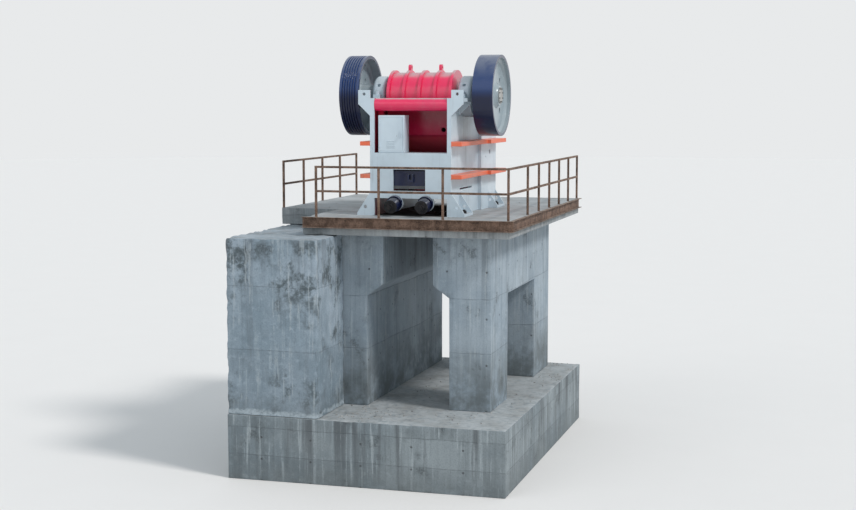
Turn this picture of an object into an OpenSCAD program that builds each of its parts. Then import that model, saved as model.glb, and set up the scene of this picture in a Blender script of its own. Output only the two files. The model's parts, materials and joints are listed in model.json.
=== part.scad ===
// Single toggle jaw crusher on its concrete foundation, millimetres.
// X runs across the machine, Y from the discharge side to the feed side, Z up.
// The origin is on the ground, under the front face of the piers, at mid machine.

/* [Foundation] */
// Height of the concrete plinth
plinth_h = 1210; // [900:10:1600]
// Plinth edge left of the machine's middle
plinth_left = 3050; // [2900:10:3600]
// Plinth edge right of the machine's middle
plinth_right = 2240; // [1900:10:3000]
// Reach of the plinth ahead of the piers
plinth_front = 1470; // [1000:10:2000]
// Reach of the plinth behind the piers
plinth_back = 370; // [200:10:900]
// Height of the two piers
pier_h = 3280; // [3000:10:3800]
// Length of the piers along the machine
pier_depth = 5230; // [4800:10:6000]
// Half width over the outer faces of the piers
pier_out = 1600; // [1500:10:1700]
// Thickness of a pier's lower part
pier_t = 800; // [700:10:900]
// Thickness of a pier's wider head
pier_head_t = 1120; // [1050:10:1150]
// Height of the pier's thin lower part
pier_leg_h = 2100; // [1800:10:2300]
// Height of the slope from the thin part to the head
haunch_h = 240; // [150:10:400]
// Front edge of the opening through the right pier
side_port_y = 1370; // [1100:10:1600]
// Width of the opening through the right pier
side_port_w = 2410; // [1800:10:2600]
// Height of the opening through the right pier
side_port_h = 2070; // [1600:10:2300]
// Inner face of the abutment's front block, left of the middle
abutment_in = 1260; // [1150:10:1400]

/* [Deck] */
// Thickness of the deck slab
deck_t = 330; // [250:10:450]
// Reach of the deck ahead of the piers
deck_front = 500; // [400:10:700]
// Reach of the deck behind the piers
deck_back = 970; // [600:10:1200]
// Left edge of the deck's front part
deck_left = 1900; // [1800:10:2100]
// Right edge of the deck
deck_right = 2060; // [1950:10:2200]
// Left edge of the deck's wider rear part
wing_left = 3150; // [3100:10:3300]
// Front edge of the deck's wider rear part
wing_front = 1600; // [1400:10:2000]
// Width of the discharge hole through the deck
chute_w = 900; // [700:10:940]
// Front edge of the discharge hole
chute_y = 1500; // [1400:10:1700]
// Length of the discharge hole
chute_len = 1500; // [1200:10:1600]
// Depth of the steel channel along the deck edge
channel_h = 200; // [150:10:240]
// Flange width of that channel
channel_w = 75; // [60:5:100]
// Wall of that channel
channel_t = 10; // [6:1:12]

/* [Guard rails] */
// Height of the rails over the deck
rail_h = 950; // [850:10:1100]
// Side of the square posts and bars
rail_bar = 40; // [30:2:50]
// Height of the middle bar's axis over the deck
mid_rail_h = 500; // [400:10:600]
// First post of the front rail in from the deck's left edge
front_rail_in = 260; // [30:10:400]
// Bays of the front rail
front_bays = 3; // [2:1:4]
// First post of the right rail behind the corner post
right_first = 1600; // [1200:10:1800]
// Closer bays of the right rail
right_bays = 5; // [4:1:7]
// Bays of the left rail
left_bays = 4; // [3:1:6]
// Last post short of the deck's rear edge
rail_end = 60; // [40:5:200]
// Gap from a post's face to the deck's edge
rail_edge = 10; // [5:1:30]

/* [Crusher frame] */
// Rear face of the frame behind the pier front
frame_y = 160; // [100:10:300]
// Length of the frame
frame_len = 3200; // [3100:10:3300]
// Distance between the side walls
inner_w = 1420; // [1380:10:1460]
// Thickness of a side wall
wall_t = 80; // [60:5:100]
// Extra thickness of the wall's front part
wall_step = 70; // [40:5:90]
// Start of the thick front part from the rear face
step_u = 2000; // [1950:10:2100]
// Height of the side walls at the bearing flange
wall_h = 2200; // [2150:10:2260]
// Height of the side walls at the feed end
front_h = 2080; // [1980:10:2140]
// Thickness of the flange under the bearings
seat_t = 70; // [50:5:90]
// Reach of that flange outside the wall
seat_w = 230; // [200:5:240]
// Length of the slope from the flange down to the feed end
wall_slope = 150; // [80:10:300]
// Length of the bearing flange
seat_len = 1960; // [1800:10:1980]
// Thickness of the gussets under the flange
gusset_t = 40; // [25:5:50]
// Height of the gussets
gusset_h = 330; // [250:10:420]
// Height of the upper side rib
rib_hi = 1350; // [1250:10:1400]
// Height of the lower side rib
rib_lo = 740; // [650:10:800]
// Thickness of the side ribs
rib_t = 80; // [60:5:100]
// Reach of the side ribs outside the wall
rib_w = 200; // [150:10:240]
// Thickness of the foot plates
foot_t = 50; // [40:5:60]
// Reach of the foot plates outside the wall
foot_w = 260; // [230:10:300]
// Length of a foot plate along the wall
foot_len = 620; // [500:10:700]
// Height of the flared foot
foot_h = 440; // [350:10:520]
// Radius of the anchor bolt holes
anchor_r = 26; // [20:1:32]
// Anchor bolts in from the foot plate's outer edge
anchor_in = 95; // [80:5:110]
// Anchor bolts in from the ends of the frame
anchor_end = 330; // [250:10:400]
// Depth of the anchor bolts in the deck
anchor_depth = 240; // [180:10:240]
// Radius of the shackle holes in the foot gussets
shackle_r = 32; // [24:2:40]
// Height of the plates that stop the bearing housings
stop_h = 150; // [110:10:180]
// Radius of the hole in a stop plate
stop_hole_r = 30; // [20:2:36]
// Height of the slot low in the side walls
slot_v = 470; // [455:5:520]
// Length of that slot
slot_len = 900; // [600:10:1100]
// Height of the opening of that slot
slot_h = 34; // [24:2:50]
// Thickness of the box-shaped front wall
front_wall_t = 420; // [360:10:450]
// Height of the front wall's underside
front_wall_z = 260; // [200:10:320]
// Thickness of the plate behind the fixed jaw
front_plate_t = 190; // [150:10:240]
// Bays between the front wall's webs
front_web_bays = 5; // [3:1:6]

/* [Rear of the frame] */
// Underside of the rear face plate
rear_z0 = 330; // [280:10:360]
// Top of the rear face plate
rear_z1 = 1180; // [1100:10:1240]
// Thickness of the rear face plate
rear_t = 60; // [40:5:80]
// Depth of the rear box beam
rear_beam_d = 480; // [400:10:520]
// Underside of the rear box beam
rear_beam_z = 900; // [870:10:940]
// Left edge of the adjusting window from the middle
window_left = 340; // [300:10:400]
// Right edge of the adjusting window from the middle
window_right = 290; // [250:10:400]
// Underside of the adjusting window
window_z0 = 470; // [440:10:520]
// Top of the adjusting window
window_z1 = 870; // [800:10:880]
// Radius of the red cross beam
cross_r = 120; // [100:5:140]
// Width of the cabinet
cabinet_w = 512; // [400:10:600]
// Height of the cabinet
cabinet_h = 700; // [600:10:720]
// Depth of the cabinet
cabinet_d = 300; // [200:10:330]
// Left edge of the cabinet from the middle
cabinet_left = 634; // [560:2:700]
// Gap between the cabinet and the plane of the rear face
cabinet_in = 20; // [5:5:60]

/* [Shaft and wheels] */
// Shaft axis from the rear face
shaft_u = 1040; // [1020:10:1080]
// Shaft axis over the deck
shaft_v = 2250; // [2220:10:2300]
// Eccentric throw of the pitman journal
throw = 16; // [10:1:20]
// Radius of the shaft in the frame bearings
shaft_r = 130; // [110:5:150]
// Radius of the eccentric journal
journal_r = 165; // [150:5:175]
// Radius of the shaft ends in the wheels
shaft_end_r = 110; // [90:5:115]
// Outer radius of the bearing housings
housing_r = 370; // [350:5:380]
// Length of a bearing housing
housing_w = 250; // [230:5:270]
// Rounding of a housing's edges
housing_round = 60; // [30:5:80]
// Reach of a housing's bolted ears
housing_ear = 110; // [90:5:140]
// Radius of the grease port in a housing's cap
port_r = 34; // [24:2:44]
// Gap between the side wall's inner face and the housing
housing_in = 10; // [6:1:16]
// Outer radius of both flywheels
wheel_r = 768; // [740:2:790]
// Width of the flywheel rim
wheel_w = 390; // [360:5:400]
// Half width over both flywheels
wheel_out = 1500; // [1470:5:1530]
// Thickness of the flywheel rim
wheel_rim = 60; // [50:1:90]
// Thickness of the flywheel web
web_t = 70; // [50:5:90]
// Depth of the web behind the outer face
web_in = 110; // [90:5:130]
// Radius of the fillets between web, hub and rim
wheel_fillet = 45; // [25:5:60]
// Radius of the web holes
web_hole_r = 52; // [40:2:65]
// Radius of the circle through the web holes
web_hole_pitch = 400; // [360:10:440]
// Number of web holes
web_holes = 4; // [3:1:6]
// Radius of the wheel hub
hub_r = 200; // [180:5:220]
// Reach of the hub from the web
hub_out = 70; // [50:5:90]
// Number of belt grooves in the left wheel
grooves = 6; // [4:1:8]
// Depth of a belt groove
groove_d = 22; // [14:1:26]
// Width of a belt groove at the rim
groove_w = 38; // [30:1:42]

/* [Pitman and jaws] */
// Half width of the pitman barrel
pitman_half = 640; // [620:5:650]
// Outer radius of the barrel ribs
barrel_r = 500; // [480:5:510]
// Depth of the panels between the ribs
panel_d = 45; // [30:5:60]
// Thickness of the pitman ribs
pitman_rib = 55; // [45:5:70]
// Number of ribs round the pitman
pitman_ribs = 5; // [4:1:6]
// Thickness of the pitman's front and back plates
pitman_plate = 90; // [70:5:110]
// Bore of the pitman for its bearings
pitman_bore = 230; // [220:5:260]
// Thickness of the jaw plates
jaw_t = 120; // [100:5:140]
// Depth of the jaw teeth
tooth_d = 45; // [30:5:50]
// Number of jaw teeth
teeth = 10; // [8:1:12]
// Width of the jaw plates
jaw_w = 1220; // [1180:10:1240]
// Thickness of the cheek plates
cheek_t = 60; // [50:5:65]
// Thickness of the toggle plate
toggle_t = 110; // [90:5:130]
// Width of the toggle plate
toggle_w = 1000; // [900:10:1040]
// Radius of the toggle plate's rounded ends
toggle_end_r = 60; // [56:1:70]

// Discharge gap between the jaws' teeth, measured level
discharge_gap = 190; // [130:5:230]
// Jaw back's top ahead of the shaft axis
jaw_top_du = 490; // [460:10:495]
// Jaw back's top over the shaft axis
jaw_top_dv = 80; // [40:10:120]
// Jaw back's foot over the deck
jaw_foot_v = 360; // [330:10:400]
// Height of the pitman's solid foot along the jaw
pitman_foot_h = 520; // [450:10:600]
// Depth of the pitman's foot from the jaw to the toggle seat
pitman_foot_d = 630; // [580:10:680]
// Step of the pitman's foot down below the jaw plate
pitman_toe = 60; // [40:5:80]
// Depth of the wedge bar over the moving jaw plate
wedge_h = 130; // [100:10:160]
// Jaw back left bare over the wedge bar
wedge_over = 60; // [40:5:90]
// Height of the cheek plates' lower edge over the jaw's foot
cheek_up = 80; // [40:10:140]
// Cheek plates' top edge below the side wall's top at the feed end
cheek_down = 60; // [30:10:120]
// Reach of the cheek plates behind the moving jaw's back
cheek_back = 200; // [120:10:260]
// Radius of the large hole over a cheek plate's fixing
cheek_hole_r = 46; // [36:2:56]
// Depth of that hole below the upper side rib
cheek_hole_drop = 220; // [160:10:280]
// Height of the toggle's axis over the deck
toggle_v = 705; // [690:5:720]
// Front of the adjusting block from the rear face
block_reach = 640; // [600:10:680]
// Depth of a toggle seat
seat_d = 90; // [80:5:110]
// Height of a toggle seat
seat_h = 170; // [150:10:190]
// Height of the adjusting block
block_h = 280; // [260:10:300]
// Thickness of the shelf under the adjusting block
shelf_t = 60; // [40:5:70]

/* [Tension gear] */
// Distance of the tension rods from the middle
rod_x = 300; // [270:5:330]
// Radius of the tension rods
rod_r = 32; // [26:1:36]
// Height of the rods' pins below the toggle's axis
pin_drop = 158; // [150:1:170]
// Height of the rods at the rear face
rod_z = 240; // [230:5:260]
// Outer radius of the tension springs
spring_r = 125; // [110:5:135]
// Radius of the spring wire
spring_wire = 20; // [16:1:22]
// Length of a compressed spring
spring_len = 260; // [220:10:300]
// Turns of a spring
spring_turns = 4; // [3:1:5]

/* [Hidden] */
$fn = 64;
eps = 1;

// Clearance between pieces that seat on each other
fit_gap = 0.3;
// Clearance of a shaft in its bearing
bearing_gap = 0.08;

deck_z = plinth_h + pier_h + deck_t;
deck_y0 = -deck_front;
deck_y1 = pier_depth + deck_back;
wall_in = inner_w / 2;
wall_out = wall_in + wall_t;
thick_out = wall_out + wall_step;
wheel_in = wheel_out - wheel_w;

// The eccentric journal stands at its lowest point at rest
journal_v = shaft_v - throw;

// The cross beam's top lies level with the side walls
cross_z = wall_h - cross_r;

// Inner face of the front wall, where the fixed jaw's back lies
fixed_u = frame_len - front_wall_t;

// Moving jaw's back in the side view: u from the rear face, v over the deck
jaw_foot_u = fixed_u - 2 * jaw_t - discharge_gap;
jaw_top = [shaft_u + jaw_top_du, shaft_v + jaw_top_dv];
jaw_foot = [jaw_foot_u, jaw_foot_v];
jaw_dir = (jaw_top - jaw_foot) / norm(jaw_top - jaw_foot);
jaw_len = norm(jaw_top - jaw_foot);
jaw_lean = atan2(-jaw_dir[0], jaw_dir[1]);

moving_len = jaw_len - wedge_h - wedge_over;
fixed_len = front_h - front_wall_z - wedge_over;

// Rear face of the pitman's toggle seat block and the points of its side view
pitman_seat_u = jaw_foot_u - pitman_foot_d;
seat_over = 40;
seat_under = 20;
foot_reach = 380;
foot_rise = 300;
barrel_in = 45;
barrel_drop = 190;
toe_in = 40;
toe_d = 250;
seat_top_v = toggle_v + seat_h / 2 + seat_over;
seat_low_v = toggle_v - seat_h / 2 - seat_under;
foot_back = [pitman_seat_u - foot_reach, toggle_v + foot_rise];
barrel_back = [shaft_u - barrel_r + barrel_in, journal_v - barrel_drop];
toe_front = [jaw_foot_u - toe_in, jaw_foot_v - pitman_toe];
toe_back = [jaw_foot_u - toe_in - toe_d, jaw_foot_v - pitman_toe];

// Toggle: rear end in its seat, front end with room for the pitman's orbit
seat_floor = 20;
orbit_gap = throw + 6;
toggle_front_u = pitman_seat_u - toggle_end_r - orbit_gap - seat_floor;
toggle_rear_u = block_reach + seat_d;

shelf_z = toggle_v - block_h / 2;

// Pitman's back below the barrel
back_in = 280;
pitman_back_u = shaft_u - back_in;
pitman_back_v = 1500;
back_hole_x = 440;
back_hole_v = 1600;
back_hole_r = 45;
eye_r = 55;
eye_foot = 40;

// Rod pins and the ears that hold them
pin_r = 24;
pin_in = 20;
ear_t = 30;
ear_gap = 45;
ear_r = 85;
ear_reach = 160;
ear_rise = 60;
eye_side = 10;
eye_wall = 22;
pin_out = 20;
cup_h = 70;
cup_floor = 30;
cup_root = 60;
cup_room = 6;
cup_wall = 19;
washer_t = 16;
rod_out = cup_floor + spring_len + washer_t + 2.6 * rod_r;

anchor_bolt_r = anchor_r - 2;
anchor_out = 70;
anchor_washer_t = 10;
anchor_nut_h = 42;
anchor_x = wall_out + foot_w - anchor_in;
anchor_u = [anchor_end, frame_len - anchor_end];

// Shaft shoulder outside the housings, where the wheels' hubs stop
shoulder_gap = 20;
shoulder_x = wall_in + housing_in + housing_w + shoulder_gap;
shaft_tip = 15;
ring_step = 50;

// Guard rail runs between the axes of their end posts
post_in = rail_bar / 2 + rail_edge;
front_rail_len = deck_left - front_rail_in + deck_right - post_in;
right_rail_len = deck_y1 - deck_y0 - post_in - rail_end;
left_rail_len = deck_y1 - wing_front - post_in - rail_end;

lug_r = spring_r + 30;
rod_hole_r = rod_r + 10;

// Where the rods' pins meet the pitman, and the spring's end on the rod
pin_u = pitman_seat_u + pin_in;
pin_v = toggle_v - pin_drop;
pin_s = norm([pin_u, pin_v - rod_z]);
rod_slope = atan2(pin_v - rod_z, pin_u);
spring_end = cup_floor + spring_len + 2 * fit_gap;

// Placing helpers: machine space starts at the rear face on the deck
module on_deck() { translate([0, frame_y, deck_z]) children(); }
module about_shaft() { on_deck() translate([0, shaft_u, shaft_v]) rotate([0, 90, 0]) children(); }
module both_sides() { for (side = [0, 1]) mirror([side, 0, 0]) children(); }

// Extrudes a side view outline drawn as [u, v] from x0 to x1
module side_plate(x0, x1) {
    translate([x0, 0, 0]) rotate([90, 0, 90]) linear_extrude(x1 - x0) children();
}

module block(x0, x1, y0, y1, z0, z1) {
    translate([x0, y0, z0]) cube([x1 - x0, y1 - y0, z1 - z0]);
}

module x_cylinder(r, x0, x1) { translate([x0, 0, 0]) rotate([0, 90, 0]) cylinder(r = r, h = x1 - x0); }

module plinth() {
    color("darkgray")
        block(-plinth_left, plinth_right, -plinth_front, pier_depth + plinth_back, 0, plinth_h);
}

// Pier outline seen from the front, outer face at +pier_out
module pier_outline() {
    polygon([
        [pier_out - pier_t, 0], [pier_out, 0], [pier_out, pier_h], [pier_out - pier_head_t, pier_h],
        [pier_out - pier_head_t, pier_leg_h + haunch_h], [pier_out - pier_t, pier_leg_h]
    ]);
}

module pier_body() {
    translate([0, pier_depth, plinth_h]) rotate([90, 0, 0]) linear_extrude(pier_depth) pier_outline();
}

module left_pier() { color("gainsboro") mirror([1, 0, 0]) pier_body(); }

module right_pier() {
    color("gainsboro") difference() {
        pier_body();
        translate([0, side_port_y, plinth_h - eps]) cube([pier_out + eps, side_port_w, side_port_h + eps]);
    }
}

module left_abutment() {
    color("darkgray") translate([0, 0, plinth_h]) linear_extrude(pier_h) polygon([
        [-plinth_left, -plinth_front], [-abutment_in, -plinth_front], [-abutment_in, 0], [-pier_out, 0],
        [-pier_out, pier_depth], [-plinth_left, pier_depth]
    ]);
}

module deck_outline() {
    polygon([
        [-deck_left, deck_y0], [deck_right, deck_y0], [deck_right, deck_y1],
        [-wing_left, deck_y1], [-wing_left, wing_front], [-deck_left, wing_front]
    ]);
}

module deck_slab() {
    color("lightgray") difference() {
        translate([0, 0, deck_z - deck_t]) linear_extrude(deck_t) difference() {
            deck_outline();
            translate([-chute_w / 2, chute_y]) square([chute_w, chute_len]);
        }
        on_deck() both_sides() for (u = anchor_u)
            translate([anchor_x, u, -anchor_depth])
                cylinder(r = anchor_bolt_r + fit_gap, h = anchor_depth + eps);
    }
}

// A length of channel along +x: web against y = 0, flanges towards -y, top at z = 0
module channel_run(length) {
    difference() {
        block(0, length, -channel_w, 0, -channel_h, 0);
        block(-eps, length + eps, -channel_w - eps, -channel_t, channel_t - channel_h, -channel_t);
    }
}

module deck_edge_channel() {
    color("saddlebrown") translate([0, 0, deck_z]) {
        translate([-deck_left, deck_y0, 0]) channel_run(deck_left + deck_right + channel_w);
        translate([deck_right, deck_y0, 0]) rotate([0, 0, 90]) channel_run(deck_y1 - deck_y0);
    }
}

// A run of posts and two bars along +x from the origin
module rail_run(posts, length) {
    for (x = posts) block(x - rail_bar / 2, x + rail_bar / 2, -rail_bar / 2, rail_bar / 2, 0, rail_h);
    for (z = [mid_rail_h, rail_h])
        block(-rail_bar / 2, length + rail_bar / 2, -rail_bar / 2, rail_bar / 2, z - rail_bar, z);
}

module front_guard_rail() {
    pitch = front_rail_len / front_bays;
    color("sienna") translate([-deck_left + front_rail_in, deck_y0 + post_in, deck_z])
        rail_run([for (i = [0 : front_bays]) i * pitch], front_rail_len);
}

module right_guard_rail() {
    pitch = (right_rail_len - right_first) / right_bays;
    color("sienna") translate([deck_right - post_in, deck_y0 + post_in, deck_z]) rotate([0, 0, 90])
        difference() {
            rail_run([for (i = [0 : right_bays]) right_first + i * pitch], right_rail_len);
            block(-rail_bar, rail_bar / 2, -rail_bar, rail_bar, -eps, rail_h + eps);
        }
}

module left_guard_rail() {
    pitch = left_rail_len / left_bays;
    color("sienna") translate([-wing_left + post_in, wing_front + post_in, deck_z]) rotate([0, 0, 90])
        rail_run([for (i = [0 : left_bays]) i * pitch], left_rail_len);
}

// Side view of a side wall below its bearing flange
module wall_outline() {
    polygon([
        [0, 0], [frame_len, 0], [frame_len, front_h], [seat_len + wall_slope, front_h],
        [seat_len, wall_h - eps], [0, wall_h - eps]
    ]);
}

// Flared gusset of a foot with a hole for a shackle
module foot_gusset() {
    rotate([90, 0, 0]) linear_extrude(gusset_t) difference() {
        polygon([
            [wall_out - eps, 0], [wall_out + foot_w, 0],
            [wall_out + foot_w, foot_t], [wall_out - eps, foot_h]
        ]);
        translate([wall_out + foot_w / 2 - shackle_r, (foot_h + foot_t) / 3]) circle(r = shackle_r);
    }
}

module seat_gusset() {
    rotate([90, 0, 0]) linear_extrude(gusset_t) polygon([
        [wall_out - eps, wall_h - gusset_h], [wall_out + seat_w, wall_h - seat_t - gusset_t],
        [wall_out + seat_w, wall_h - seat_t + eps], [wall_out - eps, wall_h - seat_t + eps]
    ]);
}

// Upright plate at an end of the flange, with a hole for the bolt that sets the housing
module stop_plate() {
    rotate([90, 0, 0]) linear_extrude(gusset_t) difference() {
        translate([wall_out, wall_h - seat_t]) square([seat_w, seat_t + stop_h]);
        translate([wall_out + seat_w / 2, wall_h + stop_h / 2]) circle(r = stop_hole_r);
    }
}

// The right wall as one casting: plate, thick front part, bearing flange, saddle and feet
module side_wall() {
    saddle_r = housing_r + gusset_t;
    difference() {
        union() {
            side_plate(wall_in, wall_out) wall_outline();
            block(wall_out - eps, thick_out, step_u, frame_len, 0, front_h);
            block(wall_in, wall_out + seat_w, 0, seat_len, wall_h - seat_t, wall_h);
            translate([wall_out - eps, shaft_u, shaft_v]) rotate([0, 90, 0])
                cylinder(r = saddle_r, h = seat_w - gusset_t);
            for (u = [gusset_t, shaft_u - saddle_r - gusset_t, seat_len])
                translate([0, u, 0]) seat_gusset();
            for (u = [gusset_t, seat_len]) translate([0, u, 0]) stop_plate();
            for (u = [0, frame_len - foot_len])
                block(wall_out - eps, wall_out + foot_w, u, u + foot_len, 0, foot_t);
            for (u = [gusset_t, foot_len, frame_len - foot_len + gusset_t, frame_len])
                translate([0, u, 0]) foot_gusset();
        }
        translate([wall_in - eps, shaft_u, shaft_v]) rotate([0, 90, 0])
            cylinder(r = housing_r + fit_gap, h = wall_t + seat_w + 2 * eps);
        block(wall_in - eps, wall_out + seat_w + eps, shaft_u - saddle_r - eps, shaft_u + saddle_r + eps,
            wall_h, shaft_v + saddle_r + eps);
        for (u = anchor_u) translate([anchor_x, u, -eps]) cylinder(r = anchor_r, h = foot_t + 2 * eps);
        translate([0, fixed_u - 2 * cheek_hole_r, rib_hi - cheek_hole_drop])
            x_cylinder(cheek_hole_r, wall_in - eps, thick_out + eps);
        translate([0, fixed_u - 9 * cheek_hole_r, rib_hi - cheek_hole_drop - 2 * cheek_hole_r])
            x_cylinder(cheek_hole_r / 2, wall_in - eps, thick_out + eps);
        block(wall_in - eps, wall_out + eps, foot_len, foot_len + slot_len, slot_v, slot_v + slot_h);
    }
}

module left_side_wall() { color("ivory") on_deck() mirror([1, 0, 0]) side_wall(); }

module right_side_wall() { color("ivory") on_deck() side_wall(); }

// Each side has two ribs that step outwards with the wall
module wall_ribs() {
    for (v = [rib_lo, rib_hi]) {
        block(wall_out, wall_out + rib_w, 0, step_u, v - rib_t / 2, v + rib_t / 2);
        block(thick_out, thick_out + rib_w, step_u, frame_len, v - rib_t / 2, v + rib_t / 2);
    }
}

module left_wall_ribs() { color("tomato") on_deck() mirror([1, 0, 0]) wall_ribs(); }

module right_wall_ribs() { color("tomato") on_deck() wall_ribs(); }

// Ribbed front wall behind the fixed jaw
module front_wall() {
    web_pitch = (2 * wall_in - gusset_t) / front_web_bays;
    web_u = fixed_u + front_plate_t - eps;
    color("ivory") on_deck() {
        block(-wall_in, wall_in, fixed_u, fixed_u + front_plate_t, front_wall_z, front_h);
        for (v = [front_wall_z, front_h - seat_t])
            block(-wall_in, wall_in, web_u, frame_len, v, v + seat_t);
        for (i = [0 : front_web_bays]) translate([-wall_in + i * web_pitch, 0, 0])
            block(0, gusset_t, web_u, frame_len, front_wall_z, front_h);
    }
}

module front_wall_ribs() {
    half = thick_out + rib_w;
    color("tomato") on_deck() for (v = [rib_lo, rib_hi])
        block(-half, half, frame_len, frame_len + rib_t, v - rib_t / 2, v + rib_t / 2);
}

module rod_places() { for (x = [-rod_x, rod_x]) translate([x, 0, rod_z]) children(); }

// Rod space: z runs along the rod, out through the rear face and down
module on_rod() { rod_places() rotate([90 + rod_slope, 0, 0]) children(); }

module rear_wall() {
    color("ivory") on_deck() difference() {
        union() {
            translate([0, rear_t, 0]) rotate([90, 0, 0]) linear_extrude(rear_t) {
                translate([-wall_in, rear_z0]) square([2 * wall_in, rear_z1 - rear_z0]);
                for (x = [-rod_x, rod_x]) translate([x, rod_z]) circle(r = lug_r);
            }
            block(-wall_in, wall_in, rear_t - eps, rear_t + rear_beam_d, rear_beam_z, rear_z1);
            block(-wall_in, wall_in, rear_t - eps, block_reach, shelf_z - shelf_t, shelf_z);
        }
        block(-window_left, window_right, -eps, rear_t + eps, window_z0, window_z1);
        on_rod() translate([0, 0, -2 * rear_t]) cylinder(r = rod_hole_r, h = 4 * rear_t);
    }
}

// Rounded red beam that ties the side walls at the top of the rear opening
module rear_cross_beam() {
    color("crimson") on_deck() translate([-wall_in, cross_r, cross_z]) rotate([0, 90, 0])
        cylinder(r = cross_r, h = 2 * wall_in);
}

module cabinet() {
    color("white") on_deck() translate([-cabinet_left, cabinet_in, rear_z1])
        cube([cabinet_w, cabinet_d, cabinet_h]);
}

// Split bearing housing with a rounded cap and two bolted ears
module bearing_housing() {
    x0 = wall_in + housing_in;
    rim_r = housing_r - housing_round;
    ear_u = housing_r + housing_ear;
    ear_bolt = 42;
    port_angle = 32;
    difference() {
        union() {
            translate([x0, shaft_u, shaft_v]) rotate([0, 90, 0]) rotate_extrude() polygon(concat(
                [[0, 0]],
                [for (a = [0 : 15 : 90]) [rim_r + housing_round * sin(a), housing_round * (1 - cos(a))]],
                [for (a = [0 : 15 : 90])
                    [rim_r + housing_round * cos(a), housing_w - housing_round * (1 - sin(a))]],
                [[0, housing_w]]
            ));
            block(x0 + housing_round, x0 + housing_w - housing_round, shaft_u - ear_u, shaft_u + ear_u,
                wall_h + fit_gap, wall_h + seat_t);
            for (reach = [housing_ear / 2 - ear_u, ear_u - housing_ear / 2])
                translate([x0 + housing_w / 2, shaft_u + reach, wall_h + seat_t - eps])
                    cylinder(r = ear_bolt, h = 1.4 * ear_bolt, $fn = 6);
        }
        translate([x0 - eps, shaft_u, shaft_v]) rotate([0, 90, 0])
            cylinder(r = shaft_r + bearing_gap, h = housing_w + 2 * eps);
        translate([x0 + housing_w / 2, shaft_u, shaft_v]) rotate([90 - port_angle, 0, 0])
            translate([0, 0, housing_r - housing_round]) cylinder(r = port_r, h = housing_round + eps);
    }
}

module left_bearing_housing() { color("whitesmoke") on_deck() mirror([1, 0, 0]) bearing_housing(); }

module right_bearing_housing() { color("whitesmoke") on_deck() bearing_housing(); }

module eccentric_shaft() {
    journal_x = pitman_half + 15;
    color("silver") on_deck() translate([0, shaft_u, shaft_v]) {
        x_cylinder(shaft_end_r, -wheel_out + shaft_tip, wheel_out - shaft_tip);
        x_cylinder(shaft_r, -shoulder_x, shoulder_x);
        translate([0, 0, -throw]) x_cylinder(journal_r, -journal_x, journal_x);
    }
}

// Half section of a wheel: r outwards, z from the inner edge of the rim to the outer one
module wheel_section() {
    web_z1 = wheel_w - web_in;
    web_z0 = web_z1 - web_t;
    rim_in = wheel_r - wheel_rim;
    flare = wheel_fillet;
    bore = shaft_end_r + fit_gap;
    hub_z0 = fit_gap - (wheel_in - shoulder_x);
    polygon([
        [bore, hub_z0], [hub_r, hub_z0], [hub_r, web_z0 - flare], [hub_r + flare, web_z0],
        [rim_in - flare, web_z0], [rim_in, web_z0 - flare], [rim_in, 0], [wheel_r, 0], [wheel_r, wheel_w],
        [rim_in, wheel_w], [rim_in, web_z1 + flare], [rim_in - flare, web_z1], [hub_r + flare, web_z1],
        [hub_r, web_z1 + flare], [hub_r - 15, web_z1 + hub_out], [bore, web_z1 + hub_out]
    ]);
}

module wheel() {
    difference() {
        rotate_extrude() wheel_section();
        for (i = [0 : web_holes - 1]) rotate([0, 0, (i + 0.5) * 360 / web_holes])
            translate([web_hole_pitch, 0, -eps]) cylinder(r = web_hole_r, h = wheel_w + 2 * eps);
    }
}

// Ring cut out of the left rim for one belt
module belt_groove() {
    rotate_extrude() polygon([
        [wheel_r + eps, -groove_w / 2], [wheel_r + eps, groove_w / 2],
        [wheel_r - groove_d, groove_w / 4], [wheel_r - groove_d, -groove_w / 4]
    ]);
}

module right_wheel_place() { about_shaft() translate([0, 0, wheel_in]) children(); }

module right_flywheel() { color("midnightblue") right_wheel_place() wheel(); }

module left_grooved_wheel() {
    groove_land = 12;
    groove_pitch = groove_w + groove_land;
    color("midnightblue") mirror([1, 0, 0]) right_wheel_place() difference() {
        wheel();
        for (i = [0 : grooves - 1])
            translate([0, 0, wheel_w / 2 + (i - (grooves - 1) / 2) * groove_pitch]) belt_groove();
    }
}

// Clamped rings that hold the wheels on the shaft ends
module wheel_locking_rings() {
    hub_face = wheel_out - web_in + hub_out;
    color("dimgray") both_sides() about_shaft() translate([0, 0, hub_face]) difference() {
        cylinder(r = hub_r - ring_step, h = wheel_out - shaft_tip - hub_face);
        translate([0, 0, -eps]) cylinder(r = shaft_end_r + fit_gap, h = web_in);
    }
}

// Side view of a pitman rib
module pitman_rib_outline() {
    translate([shaft_u, journal_v]) circle(r = barrel_r);
    polygon([
        jaw_foot, jaw_top, [shaft_u, journal_v], barrel_back, [pitman_back_u, pitman_back_v], foot_back,
        [pitman_seat_u, seat_top_v], [pitman_seat_u, seat_low_v], toe_back, toe_front
    ]);
}

// Flat back of the pitman that closes the ribs behind the rear opening
module pitman_back_outline() {
    polygon([
        barrel_back, [pitman_back_u, pitman_back_v], foot_back,
        foot_back + [0.9 * pitman_plate, pitman_plate],
        [pitman_back_u + pitman_plate, pitman_back_v + 0.4 * pitman_plate],
        barrel_back + [2 * pitman_plate, 0]
    ]);
}

module pitman_foot_outline() {
    polygon([
        jaw_foot, jaw_foot + jaw_dir * pitman_foot_h, [pitman_seat_u - seat_d, foot_back[1]],
        [pitman_seat_u, seat_top_v], [pitman_seat_u, seat_low_v], toe_back, toe_front
    ]);
}

module lifting_eye() {
    rotate([90, 0, 90]) linear_extrude(pitman_rib) difference() {
        union() {
            circle(r = eye_r);
            translate([-eye_r, -eye_r - eye_foot]) square([2 * eye_r, eye_r + eye_foot]);
        }
        circle(r = eye_r / 2);
    }
}

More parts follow.
